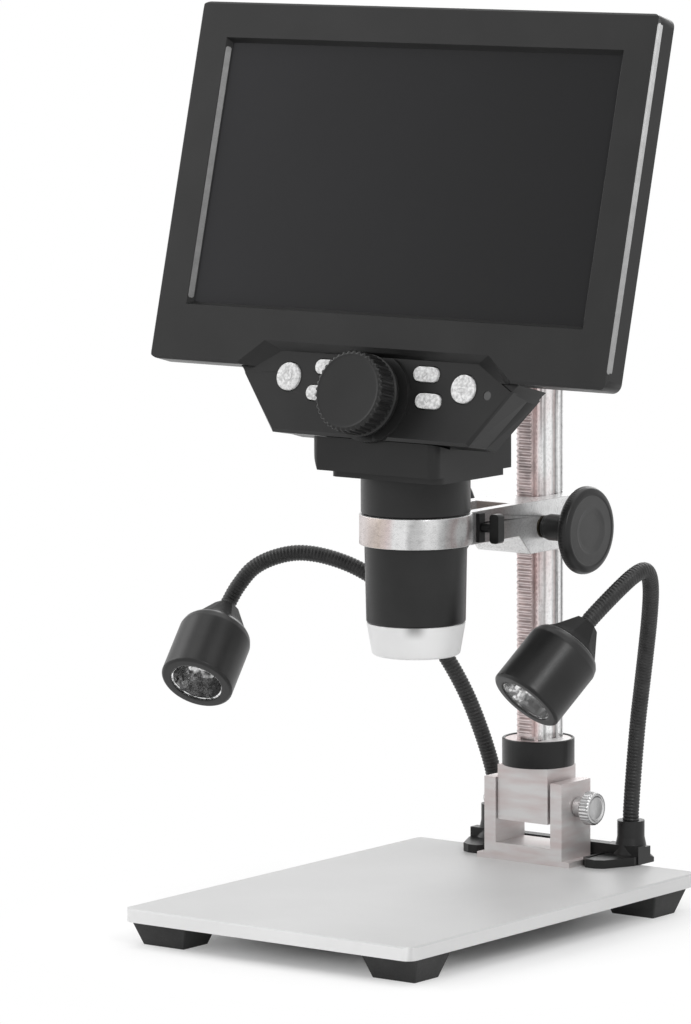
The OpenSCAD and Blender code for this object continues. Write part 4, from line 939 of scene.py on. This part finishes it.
def buildLampReflector(spec, side, place):
    # flat facets between the bowl's rings, each ring turned by half a facet against the last
    bowl, around = np.array(spec["bowl"]), spec["bowlAround"]
    angle = np.linspace(0, 2*np.pi, around, endpoint=False)[None, :]
    angle = angle + np.pi/around*(np.arange(len(bowl))[:, None] % 2)
    rings = np.stack([bowl[:, :1]*np.cos(angle), bowl[:, :1]*np.sin(angle),
                      bowl[:, 1:]*np.ones_like(angle)], -1)
    back = rings[::-1]*np.array(spec["bowlBack"]) - np.array([0, 0, spec["bowlThick"]])
    parts = [shell(placed(np.vstack([rings, back]), place), closeRows=True),
             shell(revolved(lampLine(spec, "lip"), place, spec["around"]), closeRows=True),
             shell(revolved(lampLine(spec, "dome"), place, spec["domeAround"]), capped=True, finish=1)]
    makePiece("lampReflector" + side.capitalize(), parts, "reflector_chrome", side + "_lamp",
              [side + "_lamp_reflector"], ["ledEmitter"], sharp=4)


for side in ("left", "right"):
    buildLampHousing(lamp, side, lampPlace(lamp[side]))
    buildLampReflector(lamp, side, lampPlace(lamp[side]))
print("lamps built")

gooseneck = {
    "radius": 2.7, "ribPitch": 1.15, "ribDepth": 0.2, "around": 20, "rowsPerRib": 8, "samples": 4000,
    "socketBottom": 20.8, "tail": 35.7, "intoLamp": (2, 4.2), "bends": (4, 10),
    "right": {"route": [(27.5, 82, 28), (28.2, 82, 38), (31, 81, 60), (37.5, 76, 84), (45.8, 66.5, 104.8),
                        (49, 58, 113), (48.2, 46, 108.8)], "plane": (0.9932, 0.1168, 0)},
    "left": {"route": [(-27.5, 82, 28), (-28.4, 82, 38), (-36.4, 78.5, 62.5), (-50.2, 72.5, 86),
                       (-67.3, 63, 103), (-86, 53, 109), (-100.2, 45.2, 103.6)],
             "plane": (0.674, -0.7387, 0)},
    # each length's piece, node and how far on either side of its hinge its blend's ends are set
    "lengths": (("Root", "root", 5.0), ("Middle", "lower", 5.0), ("Last", "upper", 2.8)),
}


def halved(points):
    # one more point between each two: nine times their sum less the two outer neighbours, over sixteen
    before, after = np.vstack([points[:1], points[:-2]]), np.vstack([points[2:], points[-1:]])
    middles = (9*(points[:-1] + points[1:]) - before - after)/16
    return np.vstack([np.stack([points[:-1], middles], 1).reshape(-1, 3), points[-1:]])


def curveThrough(points, samples):
    # a curve through all points: a cubic on each four neighbours, evaluated as one array
    line = np.vstack([2*points[0] - points[1], points, 2*points[-1] - points[-2]])
    t = np.linspace(0, len(points) - 1, samples)
    k = np.minimum(t.astype(int), len(points) - 2)
    f = (t - k)[:, None]
    a, b, c, d = (line[k + n] for n in range(4))
    return 0.5*(2*b + (c - a)*f + (2*a - 5*b + 4*c - d)*f**2 + (3*b - a - 3*c + d)*f**3)


def unit(vectors):
    return vectors/np.linalg.norm(vectors, axis=-1, keepdims=True)


def sampled(where, length, values):
    # rows of values at places along a length
    return np.stack([np.interp(where, length, values[:, n]) for n in range(3)], -1)


def buildGooseneck(spec, side):
    place = lampPlace(lamp[side])
    aim, tail = place[:3, 2], place[:3, 3] - spec["tail"]*place[:3, 2]
    route = halved(np.vstack([np.array(spec[side]["route"], float), tail]))
    foot = np.array([[*route[0][:2], spec["socketBottom"]]])
    ends = [tail + far*aim for far in spec["intoLamp"]]
    line = curveThrough(np.vstack([foot, route, *ends]), spec["samples"])
    length = np.concatenate([[0], np.cumsum(np.linalg.norm(np.diff(line, axis=0), axis=1))])
    heading = unit(np.gradient(line, axis=0))
    hinges = [length[np.argmin(np.linalg.norm(line - point, axis=1))]
              for point in (*(route[k] for k in spec["bends"]), tail)]
    cuts = [0, (hinges[0] + hinges[1])/2, (hinges[1] + hinges[2])/2, length[-1]]
    bodies = ["base", side + "_lower_neck", side + "_upper_neck", side + "_lamp"]
    angle = np.linspace(0, 2*np.pi, spec["around"], endpoint=False)[None, :]
    for k, (name, node, reach) in enumerate(spec["lengths"]):
        count = int((cuts[k + 1] - cuts[k])/spec["ribPitch"]*spec["rowsPerRib"])
        s = np.linspace(cuts[k], cuts[k + 1], count)
        middle, ahead = sampled(s, length, line), unit(sampled(s, length, heading))
        across = unit(np.cross(ahead, np.array(spec[side]["plane"])))
        other = np.cross(across, ahead)
        # ribs: the radius falls in a narrow valley that winds round once for each pitch
        valley = (0.5 + 0.5*np.cos(2*np.pi*(s[:, None]/spec["ribPitch"]) - angle))**2
        radius = spec["radius"] - spec["ribDepth"]*valley
        grid = middle[:, None] + radius[..., None]*(np.cos(angle)[..., None]*across[:, None]
                                                    + np.sin(angle)[..., None]*other[:, None])
        where, way = sampled(hinges[k], length, line), sampled(hinges[k], length, heading)
        start, end = (where - reach*way)*mm, (where + reach*way)*mm
        makePiece("gooseneck" + side.capitalize() + name, [shell(grid, capped=True)], "goose_black", None,
                  [f"{side}_goose_{node}"], sharp=60,
                  blend=(bodies[k], bodies[k + 1], tuple(start), tuple(end)))


for side in ("left", "right"):
    buildGooseneck(gooseneck, side)
print("goosenecks built")
